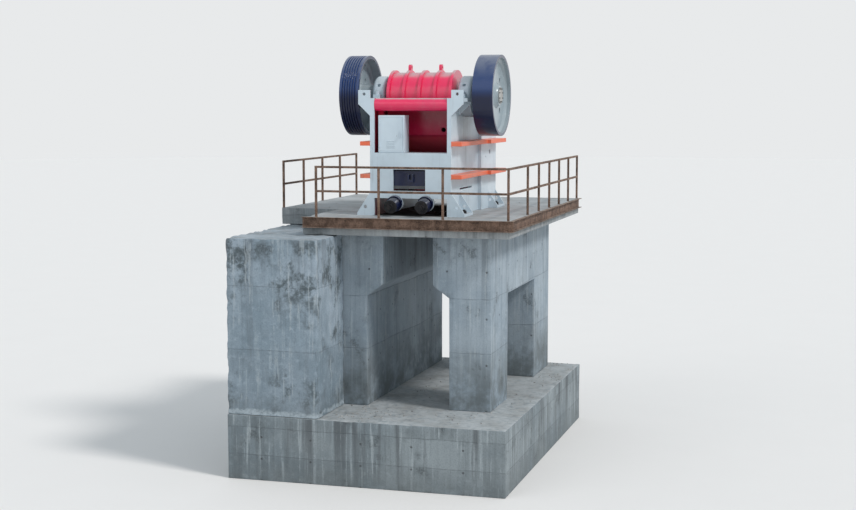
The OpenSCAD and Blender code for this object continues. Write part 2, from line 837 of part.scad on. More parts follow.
module pitman_body() {
    rib_pitch = (2 * pitman_half - pitman_rib) / (pitman_ribs - 1);
    rib_x = [for (i = [0 : pitman_ribs - 1]) -pitman_half + i * rib_pitch];
    difference() {
        union() {
            translate([0, shaft_u, journal_v]) x_cylinder(barrel_r - panel_d, -pitman_half, pitman_half);
            for (x = rib_x) side_plate(x, x + pitman_rib) pitman_rib_outline();
            side_plate(-pitman_half, pitman_half) pitman_back_outline();
            side_plate(-pitman_half, pitman_half) pitman_foot_outline();
            translate([0, jaw_foot_u, jaw_foot_v]) rotate([jaw_lean, 0, 0])
                block(-pitman_half, pitman_half, -pitman_plate, 0, 0, jaw_len);
            for (i = [1, pitman_ribs - 2])
                translate([rib_x[i], shaft_u, journal_v + barrel_r + eye_r]) lifting_eye();
            for (x = [-rod_x, rod_x], s = [-ear_gap - ear_t, ear_gap]) translate([x + s, 0, 0])
                side_plate(0, ear_t) hull() {
                    translate([pin_u, pin_v - throw]) circle(r = ear_r, $fn = 32);
                    translate([pin_u + ear_reach, pin_v + ear_rise]) circle(r = ear_r, $fn = 32);
                }
        }
        translate([0, shaft_u, journal_v])
            x_cylinder(journal_r + bearing_gap, -pitman_half - eps, pitman_half + eps);
        for (x = [-rod_x, rod_x]) translate([x, pin_u, pin_v - throw])
            x_cylinder(pin_r + orbit_gap, -2 * ear_gap - ear_t, 2 * ear_gap + ear_t);
        for (x = [-rod_x, rod_x]) translate([x, pin_u, pin_v - throw])
            x_cylinder(ear_r, -ear_gap, ear_gap);
        translate([back_hole_x, 0, back_hole_v]) rotate([-90, 0, 0])
            cylinder(r = back_hole_r, h = pitman_back_u + 3 * pitman_plate);
    }
}

module pitman() { color("crimson") on_deck() pitman_body(); }

// Toothed jaw plate: back at y = 0, teeth towards +y, standing on z = 0
module jaw_plate(length) {
    pitch = jaw_w / teeth;
    tooth = [[0.15, 0], [0.4, 1], [0.6, 1], [0.85, 0]];
    half = jaw_w / 2;
    root = jaw_t - tooth_d;
    linear_extrude(length) polygon(concat(
        [[-half, 0], [-half, root]],
        [for (i = [0 : teeth - 1], p = tooth) [-half + (i + p[0]) * pitch, root + tooth_d * p[1]]],
        [[half, root], [half, 0]]
    ));
}

module on_jaw_back() {
    on_deck() translate([0, jaw_foot_u, jaw_foot_v]) rotate([jaw_lean, 0, 0]) children();
}

module moving_jaw_plate() { color("gray") on_jaw_back() translate([0, fit_gap, 0]) jaw_plate(moving_len); }

// Wedge that clamps the moving jaw plate from above
module jaw_wedge_bar() {
    color("firebrick") on_jaw_back() translate([0, fit_gap, moving_len]) side_plate(-jaw_w / 2, jaw_w / 2)
        polygon([[0, 0], [jaw_t - tooth_d, 0], [jaw_t, wedge_h], [0, wedge_h]]);
}

module fixed_jaw_plate() {
    color("gray") on_deck() translate([0, fixed_u, front_wall_z + wedge_over / 3])
        mirror([0, 1, 0]) jaw_plate(fixed_len);
}

module cheek_plate() {
    low = jaw_foot_v + cheek_up;
    high = front_h - cheek_down;
    back_low = jaw_foot_u - cheek_back;
    back_high = back_low - (high - low) * tan(jaw_lean);
    side_plate(wall_in - cheek_t, wall_in)
        polygon([[back_low, low], [fixed_u, low], [fixed_u, high], [back_high, high]]);
}

module left_cheek_plate() { color("gray") on_deck() mirror([1, 0, 0]) cheek_plate(); }

module right_cheek_plate() { color("gray") on_deck() cheek_plate(); }

module toggle_plate() {
    color("dimgray") on_deck() {
        block(-toggle_w / 2, toggle_w / 2, toggle_rear_u, toggle_front_u,
            toggle_v - toggle_t / 2, toggle_v + toggle_t / 2);
        for (u = [toggle_rear_u, toggle_front_u]) translate([0, u, toggle_v])
            x_cylinder(toggle_end_r, -toggle_w / 2, toggle_w / 2);
    }
}

module front_toggle_seat() {
    color("dimgray") on_deck() difference() {
        block(-toggle_w / 2, toggle_w / 2, toggle_front_u + toggle_end_r / 2, pitman_seat_u,
            toggle_v - seat_h / 2, toggle_v + seat_h / 2);
        translate([0, toggle_front_u, toggle_v - throw])
            x_cylinder(toggle_end_r + orbit_gap, -toggle_w / 2 - eps, toggle_w / 2 + eps);
    }
}

module rear_toggle_seat() {
    color("dimgray") on_deck() difference() {
        block(-toggle_w / 2, toggle_w / 2, block_reach, toggle_rear_u - toggle_end_r / 4,
            toggle_v - seat_h / 2, toggle_v + seat_h / 2);
        translate([0, toggle_rear_u, toggle_v])
            x_cylinder(toggle_end_r + fit_gap, -toggle_w / 2 - eps, toggle_w / 2 + eps);
    }
}

// Block behind the toggle, with a draw bracket that shows in the window
module adjusting_block() {
    bracket_w = 110;
    bracket_h = 150;
    color("darkslateblue") on_deck() {
        block(-toggle_w / 2, toggle_w / 2, rear_t, block_reach, shelf_z, shelf_z + block_h);
        translate([-bracket_w / 2, rear_t + eps, toggle_v - bracket_h / 2]) rotate([90, 0, 0])
            linear_extrude(rear_t - eps) difference() {
                square([bracket_w, bracket_h]);
                translate([bracket_w / 4, bracket_h / 3]) square([bracket_w / 2, bracket_h]);
            }
    }
}

module tension_rods() {
    color("slategray") on_deck() {
        on_rod() translate([0, 0, -pin_s]) cylinder(r = rod_r, h = pin_s + rod_out);
        on_rod() translate([-ear_gap + eye_side, 0, -pin_s]) rotate([0, 90, 0])
            cylinder(r = pin_r + eye_wall, h = 2 * (ear_gap - eye_side));
        rod_places() translate([0, pin_u, pin_v - rod_z])
            x_cylinder(pin_r, -ear_gap - ear_t - pin_out, ear_gap + ear_t + pin_out);
    }
}

// Cups on the rear face that hold the springs, cut flush with that face
module spring_cups() {
    color("midnightblue") on_deck() difference() {
        on_rod() translate([0, 0, -cup_root]) difference() {
            cylinder(r = spring_r + cup_room + cup_wall, h = cup_root + cup_h);
            translate([0, 0, cup_root + cup_floor]) cylinder(r = spring_r + cup_room, h = cup_h);
            translate([0, 0, -eps]) cylinder(r = rod_hole_r, h = cup_h + cup_root + 2 * eps);
        }
        block(-wall_in, wall_in, 0, 3 * rear_t, 0, rear_z1);
    }
}

// Points of one ring of the spring wire at turn angle a
function spring_centre(t) =
    let (n = spring_turns, flat = 0.5, z = t < flat ? 0 : t > n - flat ? 1 : (t - flat) / (n - 2 * flat))
    [(spring_r - spring_wire) * cos(360 * t), (spring_r - spring_wire) * sin(360 * t),
        spring_wire + z * (spring_len - 2 * spring_wire)];

module spring() {
    sides = 8;
    steps = spring_turns * 16;
    points = [for (i = [0 : steps], k = [0 : sides - 1])
        let (t = i / 16, c = spring_centre(t), a = 360 * k / sides)
        c + spring_wire * (cos(a) * [cos(360 * t), sin(360 * t), 0] + sin(a) * [0, 0, 1])];
    faces = concat(
        [[for (k = [0 : sides - 1]) k]],
        [for (i = [0 : steps - 1], k = [0 : sides - 1])
            let (a = i * sides + k, b = i * sides + (k + 1) % sides) [a, a + sides, b + sides, b]],
        [[for (k = [sides - 1 : -1 : 0]) steps * sides + k]]
    );
    polyhedron(points, faces);
}

module tension_springs() {
    color("midnightblue") on_deck() on_rod() translate([0, 0, cup_floor + fit_gap]) spring();
}

module rod_nuts() {
    color("slategray") on_deck() on_rod() translate([0, 0, spring_end]) difference() {
        union() {
            cylinder(r = spring_r, h = washer_t);
            translate([0, 0, washer_t - eps]) cylinder(r = 2 * rod_r, h = 1.6 * rod_r, $fn = 6);
        }
        translate([0, 0, -eps]) cylinder(r = rod_r + fit_gap, h = 4 * rod_r);
    }
}

module anchor_bolts() {
    color("dimgray") on_deck() both_sides() for (u = anchor_u) translate([anchor_x, u, 0]) {
        translate([0, 0, -anchor_depth]) cylinder(r = anchor_bolt_r, h = anchor_depth + foot_t + anchor_out);
        translate([0, 0, foot_t + fit_gap]) cylinder(r = 2.1 * anchor_r, h = anchor_washer_t);
        translate([0, 0, foot_t + anchor_washer_t]) cylinder(r = 1.8 * anchor_r, h = anchor_nut_h, $fn = 6);
    }
}

plinth();
left_pier();
right_pier();
left_abutment();
deck_slab();
deck_edge_channel();
front_guard_rail();
right_guard_rail();
left_guard_rail();
left_side_wall();
right_side_wall();
left_wall_ribs();
right_wall_ribs();
front_wall();
front_wall_ribs();
rear_wall();
rear_cross_beam();
cabinet();
left_bearing_housing();
right_bearing_housing();
eccentric_shaft();
left_grooved_wheel();
right_flywheel();
wheel_locking_rings();
pitman();
moving_jaw_plate();
jaw_wedge_bar();
fixed_jaw_plate();
left_cheek_plate();
right_cheek_plate();
toggle_plate();
front_toggle_seat();
rear_toggle_seat();
adjusting_block();
tension_rods();
tension_springs();
spring_cups();
rod_nuts();
anchor_bolts();
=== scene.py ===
import json
import math
import random

import bmesh
import bpy
from mathutils import Matrix, Vector, noise
from mathutils.bvhtree import BVHTree

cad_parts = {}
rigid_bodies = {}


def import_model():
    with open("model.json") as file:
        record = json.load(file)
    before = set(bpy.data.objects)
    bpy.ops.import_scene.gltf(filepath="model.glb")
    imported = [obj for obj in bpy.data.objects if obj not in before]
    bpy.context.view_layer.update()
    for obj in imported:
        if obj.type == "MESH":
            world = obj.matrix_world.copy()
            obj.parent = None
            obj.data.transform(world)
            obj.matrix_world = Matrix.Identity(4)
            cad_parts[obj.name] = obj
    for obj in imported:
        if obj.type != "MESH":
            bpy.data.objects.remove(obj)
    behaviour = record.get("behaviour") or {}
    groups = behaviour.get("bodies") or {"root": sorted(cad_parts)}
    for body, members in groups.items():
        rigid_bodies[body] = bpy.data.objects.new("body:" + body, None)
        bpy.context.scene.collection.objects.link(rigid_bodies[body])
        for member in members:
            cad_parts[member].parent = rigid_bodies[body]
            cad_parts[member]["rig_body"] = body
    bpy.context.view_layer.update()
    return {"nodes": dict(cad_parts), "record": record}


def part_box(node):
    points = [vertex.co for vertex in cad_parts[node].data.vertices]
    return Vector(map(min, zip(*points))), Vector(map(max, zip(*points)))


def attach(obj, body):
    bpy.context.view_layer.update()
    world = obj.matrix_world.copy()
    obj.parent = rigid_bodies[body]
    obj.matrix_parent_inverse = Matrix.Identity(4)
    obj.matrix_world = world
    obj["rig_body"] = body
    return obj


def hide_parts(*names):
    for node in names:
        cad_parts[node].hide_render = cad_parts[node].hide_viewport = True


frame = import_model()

nodes = frame["nodes"]
print("frame loaded,", len(nodes), "nodes")


# One socket of a shader tree, so that maths on it reads as maths
class Sock:
    def __init__(self, paint, out):
        self.paint = paint
        self.out = out

    def maths(self, operation, first, second=0.0):
        return self.paint.add("ShaderNodeMath", {"operation": operation}, {0: first, 1: second})

    def __add__(self, other):
        return self.maths("ADD", self, other)

    def __radd__(self, other):
        return self.maths("ADD", other, self)

    def __sub__(self, other):
        return self.maths("SUBTRACT", self, other)

    def __rsub__(self, other):
        return self.maths("SUBTRACT", other, self)

    def __mul__(self, other):
        return self.maths("MULTIPLY", self, other)

    def __truediv__(self, other):
        return self.maths("DIVIDE", self, other)

    def __gt__(self, other):
        return self.maths("GREATER_THAN", self, other)

    def smaller(self, other):
        return self.maths("MINIMUM", self, other)

    def unsigned(self):
        return self.maths("ABSOLUTE", self)

    def root(self):
        return self.maths("SQRT", self)

    def whole(self):
        return self.maths("FLOOR", self)

    def toJoint(self, pitch):  # distance to the nearest multiple of pitch
        return self.maths("PINGPONG", self, pitch / 2)

    def step(self, low, high):  # 0 below low, 1 above high, smooth between
        return self.paint.add("ShaderNodeMapRange", {"interpolation_type": "SMOOTHSTEP"},
                              {"Value": self, "From Min": low, "From Max": high})


# A shader tree under construction
class ShaderTree:
    def __init__(self, owner):
        owner.use_nodes = True
        self.tree = owner.node_tree
        self.tree.nodes.clear()

    def join(self, socket, value):
        if isinstance(value, Sock):
            self.tree.links.new(value.out, socket)
        else:
            socket.default_value = value

    def add(self, kind, settings, values, out=0):
        node = self.tree.nodes.new(kind)
        for name, value in settings.items():
            setattr(node, name, value)
        for key, value in values.items():
            self.join(node.inputs[key], value)
        return Sock(self, node.outputs[out]) if len(node.outputs) else node


# A material under construction
class Paint(ShaderTree):
    def __init__(self, name):
        self.mat = bpy.data.materials.new(name)
        super().__init__(self.mat)
        self.shader = self.add("ShaderNodeBsdfPrincipled", {}, {}).out.node
        self.add("ShaderNodeOutputMaterial", {}, {"Surface": Sock(self, self.shader.outputs["BSDF"])})
        self.place = self.add("ShaderNodeTexCoord", {}, {}, "Object")
        self.facing = Sock(self, self.place.out.node.outputs["Normal"])
        self.x, self.y, self.z = self.split(self.place)
        self.up = self.split(self.facing)[2]

    def split(self, vector):
        node = self.add("ShaderNodeSeparateXYZ", {}, {"Vector": vector}).out.node
        return [Sock(self, out) for out in node.outputs]

    def noise(self, scale, detail=5.0, rough=0.55, stretch=(1, 1, 1), shift=(0, 0, 0)):
        spot = self.add("ShaderNodeMapping", {}, {"Vector": self.place, "Scale": stretch, "Location": shift})
        return self.add("ShaderNodeTexNoise", {},
                        {"Vector": spot, "Scale": scale, "Detail": detail, "Roughness": rough})

    def cells(self, scale):
        return self.add("ShaderNodeTexVoronoi", {}, {"Vector": self.place, "Scale": scale}, "Distance")

    def chance(self, value):  # one random number for each value
        return self.add("ShaderNodeTexWhiteNoise", {"noise_dimensions": "1D"}, {"W": value}, "Value")

    def mixed(self, factor, first, second):
        return self.add("ShaderNodeMix", {"data_type": "RGBA"}, {0: factor, 6: first, 7: second}, 2)

    def over(self, mask, colour):  # lays a colour over what is there
        self.colour = self.mixed(mask, self.colour, colour)

    def bumped(self, height, distance, strength):
        return self.add("ShaderNodeBump", {}, {"Height": height, "Distance": distance, "Strength": strength})

    def finish(self, roughness, metallic=0.0, normal=None):
        self.join(self.shader.inputs["Base Color"], self.colour)
        self.join(self.shader.inputs["Roughness"], roughness)
        self.join(self.shader.inputs["Metallic"], metallic)
        if normal is not None:
            self.join(self.shader.inputs["Normal"], normal)
        return self.mat


# Colours are written as they look on screen
def tone(red, green, blue):
    def linear(value):
        return value / 12.92 if value <= 0.04045 else ((value + 0.055) / 1.055) ** 2.4
    return (linear(red), linear(green), linear(blue), 1.0)


shaftAxis = sum(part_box("wheel_locking_rings"), Vector()) / 2
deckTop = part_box("deck_slab")[1].z
# The space between the side walls, from the rear wall to the cheek plates, the front wall's two faces, and
# the heights over which the painted shade low inside the machine fades
inside = {"half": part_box("right_side_wall")[0].x, "rear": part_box("rear_wall")[0].y + 0.05,
          "cheeks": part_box("left_cheek_plate")[0].y, "frontIn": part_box("front_wall")[0].y + 0.05,
          "frontOut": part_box("front_wall")[1].y, "insideShadeLow": deckTop + 0.60, "insideShadeTop": deckTop + 0.80}
dustTone = tone(0.70, 0.71, 0.70)
rustTone = tone(0.42, 0.27, 0.18)


# 1 within the machine, 0 outside it
def insideMask(paint, end):
    across = paint.x.unsigned()
    return ((1.0 - across.step(inside["half"] + 0.001, inside["half"] + 0.004))
            * paint.y.step(inside["rear"], inside["rear"] + 0.005)
            * (1.0 - paint.y.step(end - 0.02, end)))


# Cast concrete. Heights are from the ground.
concreteLook = {
    "pier": {"base": tone(0.57, 0.62, 0.66), "pale": tone(0.66, 0.70, 0.73), "dark": tone(0.45, 0.49, 0.51),
             "plank": 0.19, "seam": 0.16, "rows": 0.26, "lifts": (2.30, 3.31), "ties": (0.76, 0.87),
             "streaks": 0.30, "foot": 1.21, "splash": 0.80, "rise": 1.7, "dust": 0.4, "top": 4.49,
             "clouds": 0.32, "patches": 0.08, "lime": 0.0},
    "plinth": {"base": tone(0.46, 0.50, 0.52), "pale": tone(0.57, 0.60, 0.61),
               "dark": tone(0.33, 0.36, 0.37), "plank": 0.24, "seam": 0.26, "rows": 0.34,
               "lifts": (0.46, 0.98), "ties": (0.96, 0.405), "streaks": 0.62, "foot": 0.0, "splash": 0.45,
               "rise": 0.55, "dust": 0.95, "top": 1.21, "clouds": 0.40, "patches": 0.10, "lime": 0.0},
    "abutment": {"base": tone(0.50, 0.56, 0.60), "pale": tone(0.62, 0.67, 0.71),
                 "dark": tone(0.33, 0.37, 0.39), "plank": 0.60, "seam": 0.05, "rows": 0.10,
                 "lifts": (2.42, 3.60), "ties": (9.0, 9.0), "streaks": 0.42, "foot": 1.21, "splash": 0.5,
                 "rise": 0.55, "dust": 0.5, "top": 4.49, "clouds": 0.55, "patches": 0.75, "lime": 0.55},
    "deck": {"base": tone(0.58, 0.60, 0.61), "pale": tone(0.68, 0.69, 0.69), "dark": tone(0.46, 0.47, 0.47),
             "plank": 0.30, "seam": 0.20, "rows": 0.20, "lifts": (4.66, 4.66), "ties": (9.0, 9.0),
             "streaks": 0.35, "foot": 4.49, "splash": 0.2, "rise": 0.55, "dust": 0.8, "top": 4.82,
             "clouds": 0.4, "patches": 0.08, "lime": 0.0},
}


# What the formwork left: plank seams, lift joints and the bands below them, the shades of pours and planks,
# and tie holes
def formwork(paint, look, wide, mottle, side):
    along = paint.x + paint.y
    wavyZ = paint.z + (mottle - 0.5) * 0.016 + (wide - 0.5) * 0.10
    seam = (1.0 - along.toJoint(look["plank"]).step(0.001, 0.006)) * mottle.step(0.35, 0.6) * side
    lift = 0.0
    below = 0.0
    for height in look["lifts"]:
        off = wavyZ - height
        lift = lift + (1.0 - off.unsigned().step(0.003, 0.014))
        below = below + (1.0 - off.step(-0.30, -0.02)) * off.step(-0.60, -0.30)
    lift = lift.smaller(1.0) * (0.35 + mottle.step(0.38, 0.60) * 0.65) * side
    pour = paint.chance((wavyZ > look["lifts"][0]) * 2.3 + (wavyZ > look["lifts"][1]) * 5.9)
    plank = paint.chance((along / look["plank"] + 0.5).whole() + (wavyZ > look["lifts"][1]) * 31.7)
    acrossTie, upTie = along.toJoint(look["ties"][0]), (paint.z - look["foot"]).toJoint(look["ties"][1])
    tie = (1.0 - (acrossTie * acrossTie + upTie * upTie).root().step(0.016, 0.022)) * side
    return seam, lift, below, pour, plank, tie


# Concrete with the formwork's marks, honeycombs, water streaks, lime and dust
def castConcrete(kind):
    look = concreteLook[kind]
    paint = Paint("cast_concrete_" + kind)
    wide = paint.noise(0.5, 4.0, 0.6)
    cloud = paint.noise(1.9, 7.0, 0.66, shift=(7.1, 3.3, 1.9))
    mottle = paint.noise(9.0, 6.0, 0.62, shift=(1.0, 6.0, 4.0))
    fine = paint.noise(36.0, 6.0, 0.7)
    runs = paint.noise(4.2, 5.0, 0.6, (1.0, 1.0, 0.055), (2.0, 5.0, 0.0))
    thinRuns = paint.noise(13.0, 4.0, 0.6, (1.0, 1.0, 0.045), (4.0, 1.0, 0.0))
    pores = paint.cells(30.0)
    side = 1.0 - paint.up.unsigned().step(0.4, 0.8)
    seam, lift, below, pour, plank, tie = formwork(paint, look, wide, mottle, side)
    drop = look["top"] - paint.z

    paint.colour = paint.mixed(wide.step(0.36, 0.64), look["base"], look["pale"])
    paint.over(pour * 0.30 * side, look["dark"])
    paint.over(plank * look["rows"] * side, look["dark"])
    paint.over(cloud.step(0.47, 0.68) * look["clouds"], look["dark"])
    paint.over(mottle.step(0.5, 0.72) * 0.55, look["pale"])
    comb = cloud.step(0.60, 0.66) * fine.step(0.42, 0.56) * side
    paint.over(comb * 0.5, tone(0.27, 0.28, 0.28))
    patches = cloud.step(0.52, 0.60) * mottle.step(0.40, 0.54) * wide.step(0.42, 0.56) * look["patches"]
    paint.over(patches, tone(0.29, 0.33, 0.34))
    wet = (1.0 - drop.step(0.0, 1.5)) * runs.step(0.47, 0.62) * look["streaks"] * side
    paint.over(wet, tone(0.28, 0.29, 0.30))
    paint.over(runs.step(0.54, 0.70) * look["streaks"] * 0.7 * side, tone(0.33, 0.35, 0.36))
    limeRuns = thinRuns.step(0.54, 0.63) * cloud.step(0.35, 0.6) * 0.42 * side
    paint.over(limeRuns, tone(0.76, 0.79, 0.80))
    paint.over((1.0 - thinRuns.step(0.36, 0.44)) * 0.20 * side, look["dark"])
    paint.over(below * cloud.step(0.4, 0.6) * 0.16 * side, look["pale"])
    nearFoot = 1.0 - (paint.z - look["foot"]).step(0.02, look["rise"])
    paint.over(nearFoot * cloud.step(0.30, 0.58) * look["splash"] * side, tone(0.36, 0.38, 0.38))
    aboveFoot = paint.z + (cloud - 0.5) * 0.35 - look["foot"]
    low = (1.0 - aboveFoot.step(-0.02, 0.03)) * look["lime"] * side
    paint.over(low * 0.8, tone(0.38, 0.42, 0.43))
    onCrest = 1.0 - (aboveFoot - 0.05).unsigned().step(0.01, 0.07)
    paint.over(onCrest * mottle.step(0.3, 0.5) * look["lime"] * side, tone(0.74, 0.78, 0.80))
    paint.over(seam * look["seam"] + lift * 0.34, tone(0.28, 0.30, 0.31))
    paint.over(tie * 0.7, tone(0.25, 0.25, 0.25))
    paint.over((1.0 - pores.step(0.03, 0.09)) * 0.55, tone(0.28, 0.29, 0.30))
    paint.over(fine.step(0.42, 0.75) * 0.36, look["dark"])
    dust = paint.mixed(cloud.step(0.38, 0.66), tone(0.70, 0.71, 0.71), tone(0.61, 0.61, 0.60))
    paint.over(paint.up.step(0.5, 0.9) * look["dust"] * mottle.step(0.2, 0.6), dust)
    if kind == "deck":  # grease and spilt fines under the machine, darkened to near black as painted shade
        greaseAndShade = insideMask(paint, inside["frontOut"]) * (0.8 + cloud.step(0.3, 0.6) * 0.2)
        paint.over(greaseAndShade, tone(0.10, 0.09, 0.09))
    height = fine * 0.5 - seam * 0.8 - lift - tie * 2.5
    height = height - (1.0 - pores.step(0.02, 0.1)) * 0.8 + mottle * 0.5 - comb * 0.9
    return paint.finish(0.84 + fine * 0.14, 0.0, paint.bumped(height, 0.006, 0.8))


def rustySteel():
    paint = Paint("rusty_steel")
    patches = paint.noise(6.0, 6.0, 0.65)
    scale = paint.noise(45.0, 6.0, 0.7)
    grain = paint.noise(260.0, 3.0, 0.6)
    runs = paint.noise(14.0, 4.0, 0.6, (1.0, 1.0, 0.08))
    paint.colour = paint.mixed(patches.step(0.38, 0.62), tone(0.31, 0.24, 0.20), tone(0.51, 0.41, 0.35))
    paint.over(scale.step(0.48, 0.68) * 0.8, tone(0.59, 0.46, 0.37))
    pitted = scale.step(0.25, 0.4) * (1.0 - scale.step(0.4, 0.46)) * 0.7
    paint.over(pitted, tone(0.22, 0.16, 0.13))
    paint.over(runs.step(0.5, 0.7) * 0.4, tone(0.28, 0.21, 0.17))
    dusty = paint.up.step(0.6, 0.95) * 0.45 * patches.step(0.3, 0.6)
    paint.over(dusty, tone(0.66, 0.63, 0.59))
    height = scale * 0.7 + grain * 0.3
    return paint.finish(0.78 + grain * 0.18, 0.05, paint.bumped(height, 0.0016, 0.9))


# "flat" is how far up a face has to look before dust lies on it; on the red and navy paints this dust also
# stands in for a painted sheen of the sky
machineLook = {
    "cream": {"colour": tone(0.79, 0.84, 0.87), "worn": tone(0.70, 0.75, 0.78), "gloss": 0.36, "dust": 0.5,
              "flat": 0.25, "film": 0.16, "chips": 0.70, "grime": 0.30, "coat": 0.2, "shine": 0.5},
    "orange": {"colour": tone(0.93, 0.42, 0.27), "worn": tone(0.85, 0.52, 0.42), "gloss": 0.45, "dust": 0.35,
               "flat": 0.25, "film": 0.12, "chips": 0.68, "grime": 0.3, "coat": 0.1, "shine": 0.5},
    "red": {"colour": tone(0.91, 0.11, 0.34), "worn": tone(0.84, 0.20, 0.38), "gloss": 0.25, "dust": 0.85,
            "flat": 0.72, "film": 0.07, "chips": 0.72, "grime": 0.2, "coat": 0.8, "shine": 0.3},
    "white": {"colour": tone(0.80, 0.85, 0.88), "worn": tone(0.72, 0.77, 0.81), "gloss": 0.32, "dust": 0.3,
              "flat": 0.25, "film": 0.12, "chips": 0.72, "grime": 0.25, "coat": 0.2, "shine": 0.5},
    "navy": {"colour": tone(0.02, 0.07, 0.21), "worn": tone(0.05, 0.11, 0.26), "gloss": 0.28, "dust": 0.30,
             "flat": 0.25, "film": 0.006, "chips": 0.72, "grime": 0.04, "coat": 0.9, "shine": 0.05},
}


# Grease below the bearings, and the frame's inside: dark red walls, and painted shade low on the end walls
def creamStainsAndShade(paint, film, runs):
    aside = (paint.y - shaftAxis.y) + (film - 0.5) * 0.10
    under = (shaftAxis.z - paint.z).step(0.28, 0.40) * (1.0 - (shaftAxis.z - paint.z).step(0.55, 1.5))
    weep = (1.0 - aside.unsigned().step(0.02, 0.20)) * under * runs.step(0.40, 0.62)
    paint.over(weep * 0.75, tone(0.20, 0.17, 0.14))
    redInside = paint.mixed(film.step(0.4, 0.7) * 0.6, tone(0.60, 0.04, 0.16), tone(0.32, 0.05, 0.10))
    wallFace = paint.x.unsigned().step(inside["half"] - 0.006, inside["half"] - 0.003)
    paint.over(insideMask(paint, inside["cheeks"]) * wallFace, redInside)
    # painted shade: the inside of the end walls is darkened near the deck
    insideShade = ((1.0 - paint.z.step(inside["insideShadeLow"], inside["insideShadeTop"])) * (1.0 - wallFace)
            * paint.y.step(inside["rear"] - 0.02, inside["rear"])
            * (1.0 - paint.y.step(inside["frontIn"], inside["frontIn"] + 0.01)))
    paint.over(insideShade * 0.9, tone(0.16, 0.14, 0.14))


# Machine paint with dust on what faces up, partly a painted sky sheen on the red and navy, grime runs, and
# chips down to primer and rust
def machinePaint(kind, colourOf=None):
    look = machineLook[kind]
    paint = Paint("machine_paint_" + kind)
    cloud = paint.noise(1.3, 4.0, 0.55)
    film = paint.noise(7.0, 6.0, 0.6, shift=(3.0, 8.0, 2.0))
    peel = paint.noise(190.0, 2.0, 0.5)
    runs = paint.noise(20.0, 5.0, 0.6, (1.0, 1.0, 0.05), (1.0, 4.0, 0.0))
    flakes = paint.noise(13.0, 10.0, 0.72, shift=(9.0, 1.0, 6.0))
    base = look["colour"] if colourOf is None else colourOf(paint)
    worn = look["worn"] if colourOf is None else paint.mixed(0.12, base, look["worn"])
    paint.colour = paint.mixed(cloud.step(0.38, 0.68) * 0.55, base, worn)
    side = 1.0 - paint.up.unsigned().step(0.5, 0.9)
    grimy = runs.step(0.52, 0.75) * cloud.step(0.40, 0.62) * look["grime"] * side
    paint.over(grimy, tone(0.38, 0.37, 0.35))
    paint.over(film.step(0.45, 0.85) * look["film"], dustTone)
    if kind == "cream":
        creamStainsAndShade(paint, film, runs)
    # paler on top: dust, and on the red and navy paints also a painted sheen of the sky
    dusty = paint.up.step(look["flat"], 0.95) * look["dust"] * (0.45 + film.step(0.25, 0.65) * 0.55)
    paint.over(dusty, dustTone)
    chipped = flakes.step(look["chips"], look["chips"] + 0.01)
    edge = flakes.step(look["chips"] - 0.012, look["chips"]) * (1.0 - chipped)
    paint.over(edge * 0.3, tone(0.50, 0.40, 0.33))
    paint.over(chipped * 0.8, rustTone)
    roughness = look["gloss"] + film * 0.10 + dusty * 0.35 + chipped * 0.4
    paint.join(paint.shader.inputs["Coat Weight"], (1.0 - dusty) * look["coat"])
    paint.shader.inputs["Coat Roughness"].default_value = 0.20
    paint.shader.inputs["Specular IOR Level"].default_value = look["shine"]
    height = peel * 0.10 + film * 0.4 - chipped * 0.6
    return paint.finish(roughness, 0.0, paint.bumped(height, 0.001, 0.4))


wheelLook = {"rim": 0.060, "web": tone(0.60, 0.645, 0.665), "skyReflection": tone(0.06, 0.20, 0.40)}


# Navy rim, painted bluer where it looks up as a painted reflection of the sky, and grey web: the colours
# change at the rim's inner edge
def wheelPaint():
    low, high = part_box("right_flywheel")
    centre = (low + high) / 2
    faceRadius = (high.z - low.z) / 2 - wheelLook["rim"]

    def twoTone(paint):
        dy = paint.y - centre.y
        dz = paint.z - centre.z
        radius = (dy * dy + dz * dz).root()
        # painted reflection: the rim turns bluer where it faces up
        rim = paint.mixed(paint.up.step(-0.10, 0.20), machineLook["navy"]["colour"], wheelLook["skyReflection"])
        return paint.mixed(radius.step(faceRadius + 0.001, faceRadius + 0.003), wheelLook["web"], rim)
    return machinePaint("navy", twoTone)


# The pitman's back is painted darker below the barrel as painted shade, and paler pink at its foot as
# painted light
def pitmanPaint():
    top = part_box("pitman")[1].z
    pitmanShadeTop, pitmanShadeLow, pitmanShadeEnd = top - 0.62, top - 0.95, top - 1.35
    pitmanLightTop, pitmanLightLow = top - 1.33, top - 1.43

    def pitmanShadeAndLight(paint):
        wobble = paint.noise(3.0, 5.0, 0.6, (1.0, 1.0, 0.4))
        level = paint.z + (wobble - 0.5) * 0.25
        # painted shade: the back turns dark maroon below the barrel, where the recess is shaded
        share = (1.0 - level.step(pitmanShadeLow, pitmanShadeTop)) * (0.5 + level.step(pitmanShadeEnd, pitmanShadeLow) * 0.5)
        colour = paint.mixed(share * 0.84, machineLook["red"]["colour"], tone(0.38, 0.02, 0.08))
        # painted light: a bright pink near the foot lightens the shaded lower back
        return paint.mixed((1.0 - paint.z.step(pitmanLightLow, pitmanLightTop)) * 0.7, colour, tone(0.98, 0.40, 0.45))
    return machinePaint("red", pitmanShadeAndLight)


def turnedSteel():
    paint = Paint("turned_steel")
    rings = paint.noise(8.0, 3.0, 0.5, (60.0, 1.0, 1.0))
    film = paint.noise(7.0, 6.0, 0.65)
    spots = paint.noise(38.0, 7.0, 0.7)
    paint.colour = paint.mixed(film.step(0.4, 0.7) * 0.6, tone(0.74, 0.74, 0.73), tone(0.60, 0.59, 0.57))
    rusted = spots.step(0.56, 0.66) * 0.4
    paint.over(rusted, rustTone)
    metal = 0.9 - rusted * 0.8
    height = rings + spots * 0.6
    return paint.finish(0.30 + film * 0.25 + rusted * 0.35, metal, paint.bumped(height, 0.0006, 0.5))


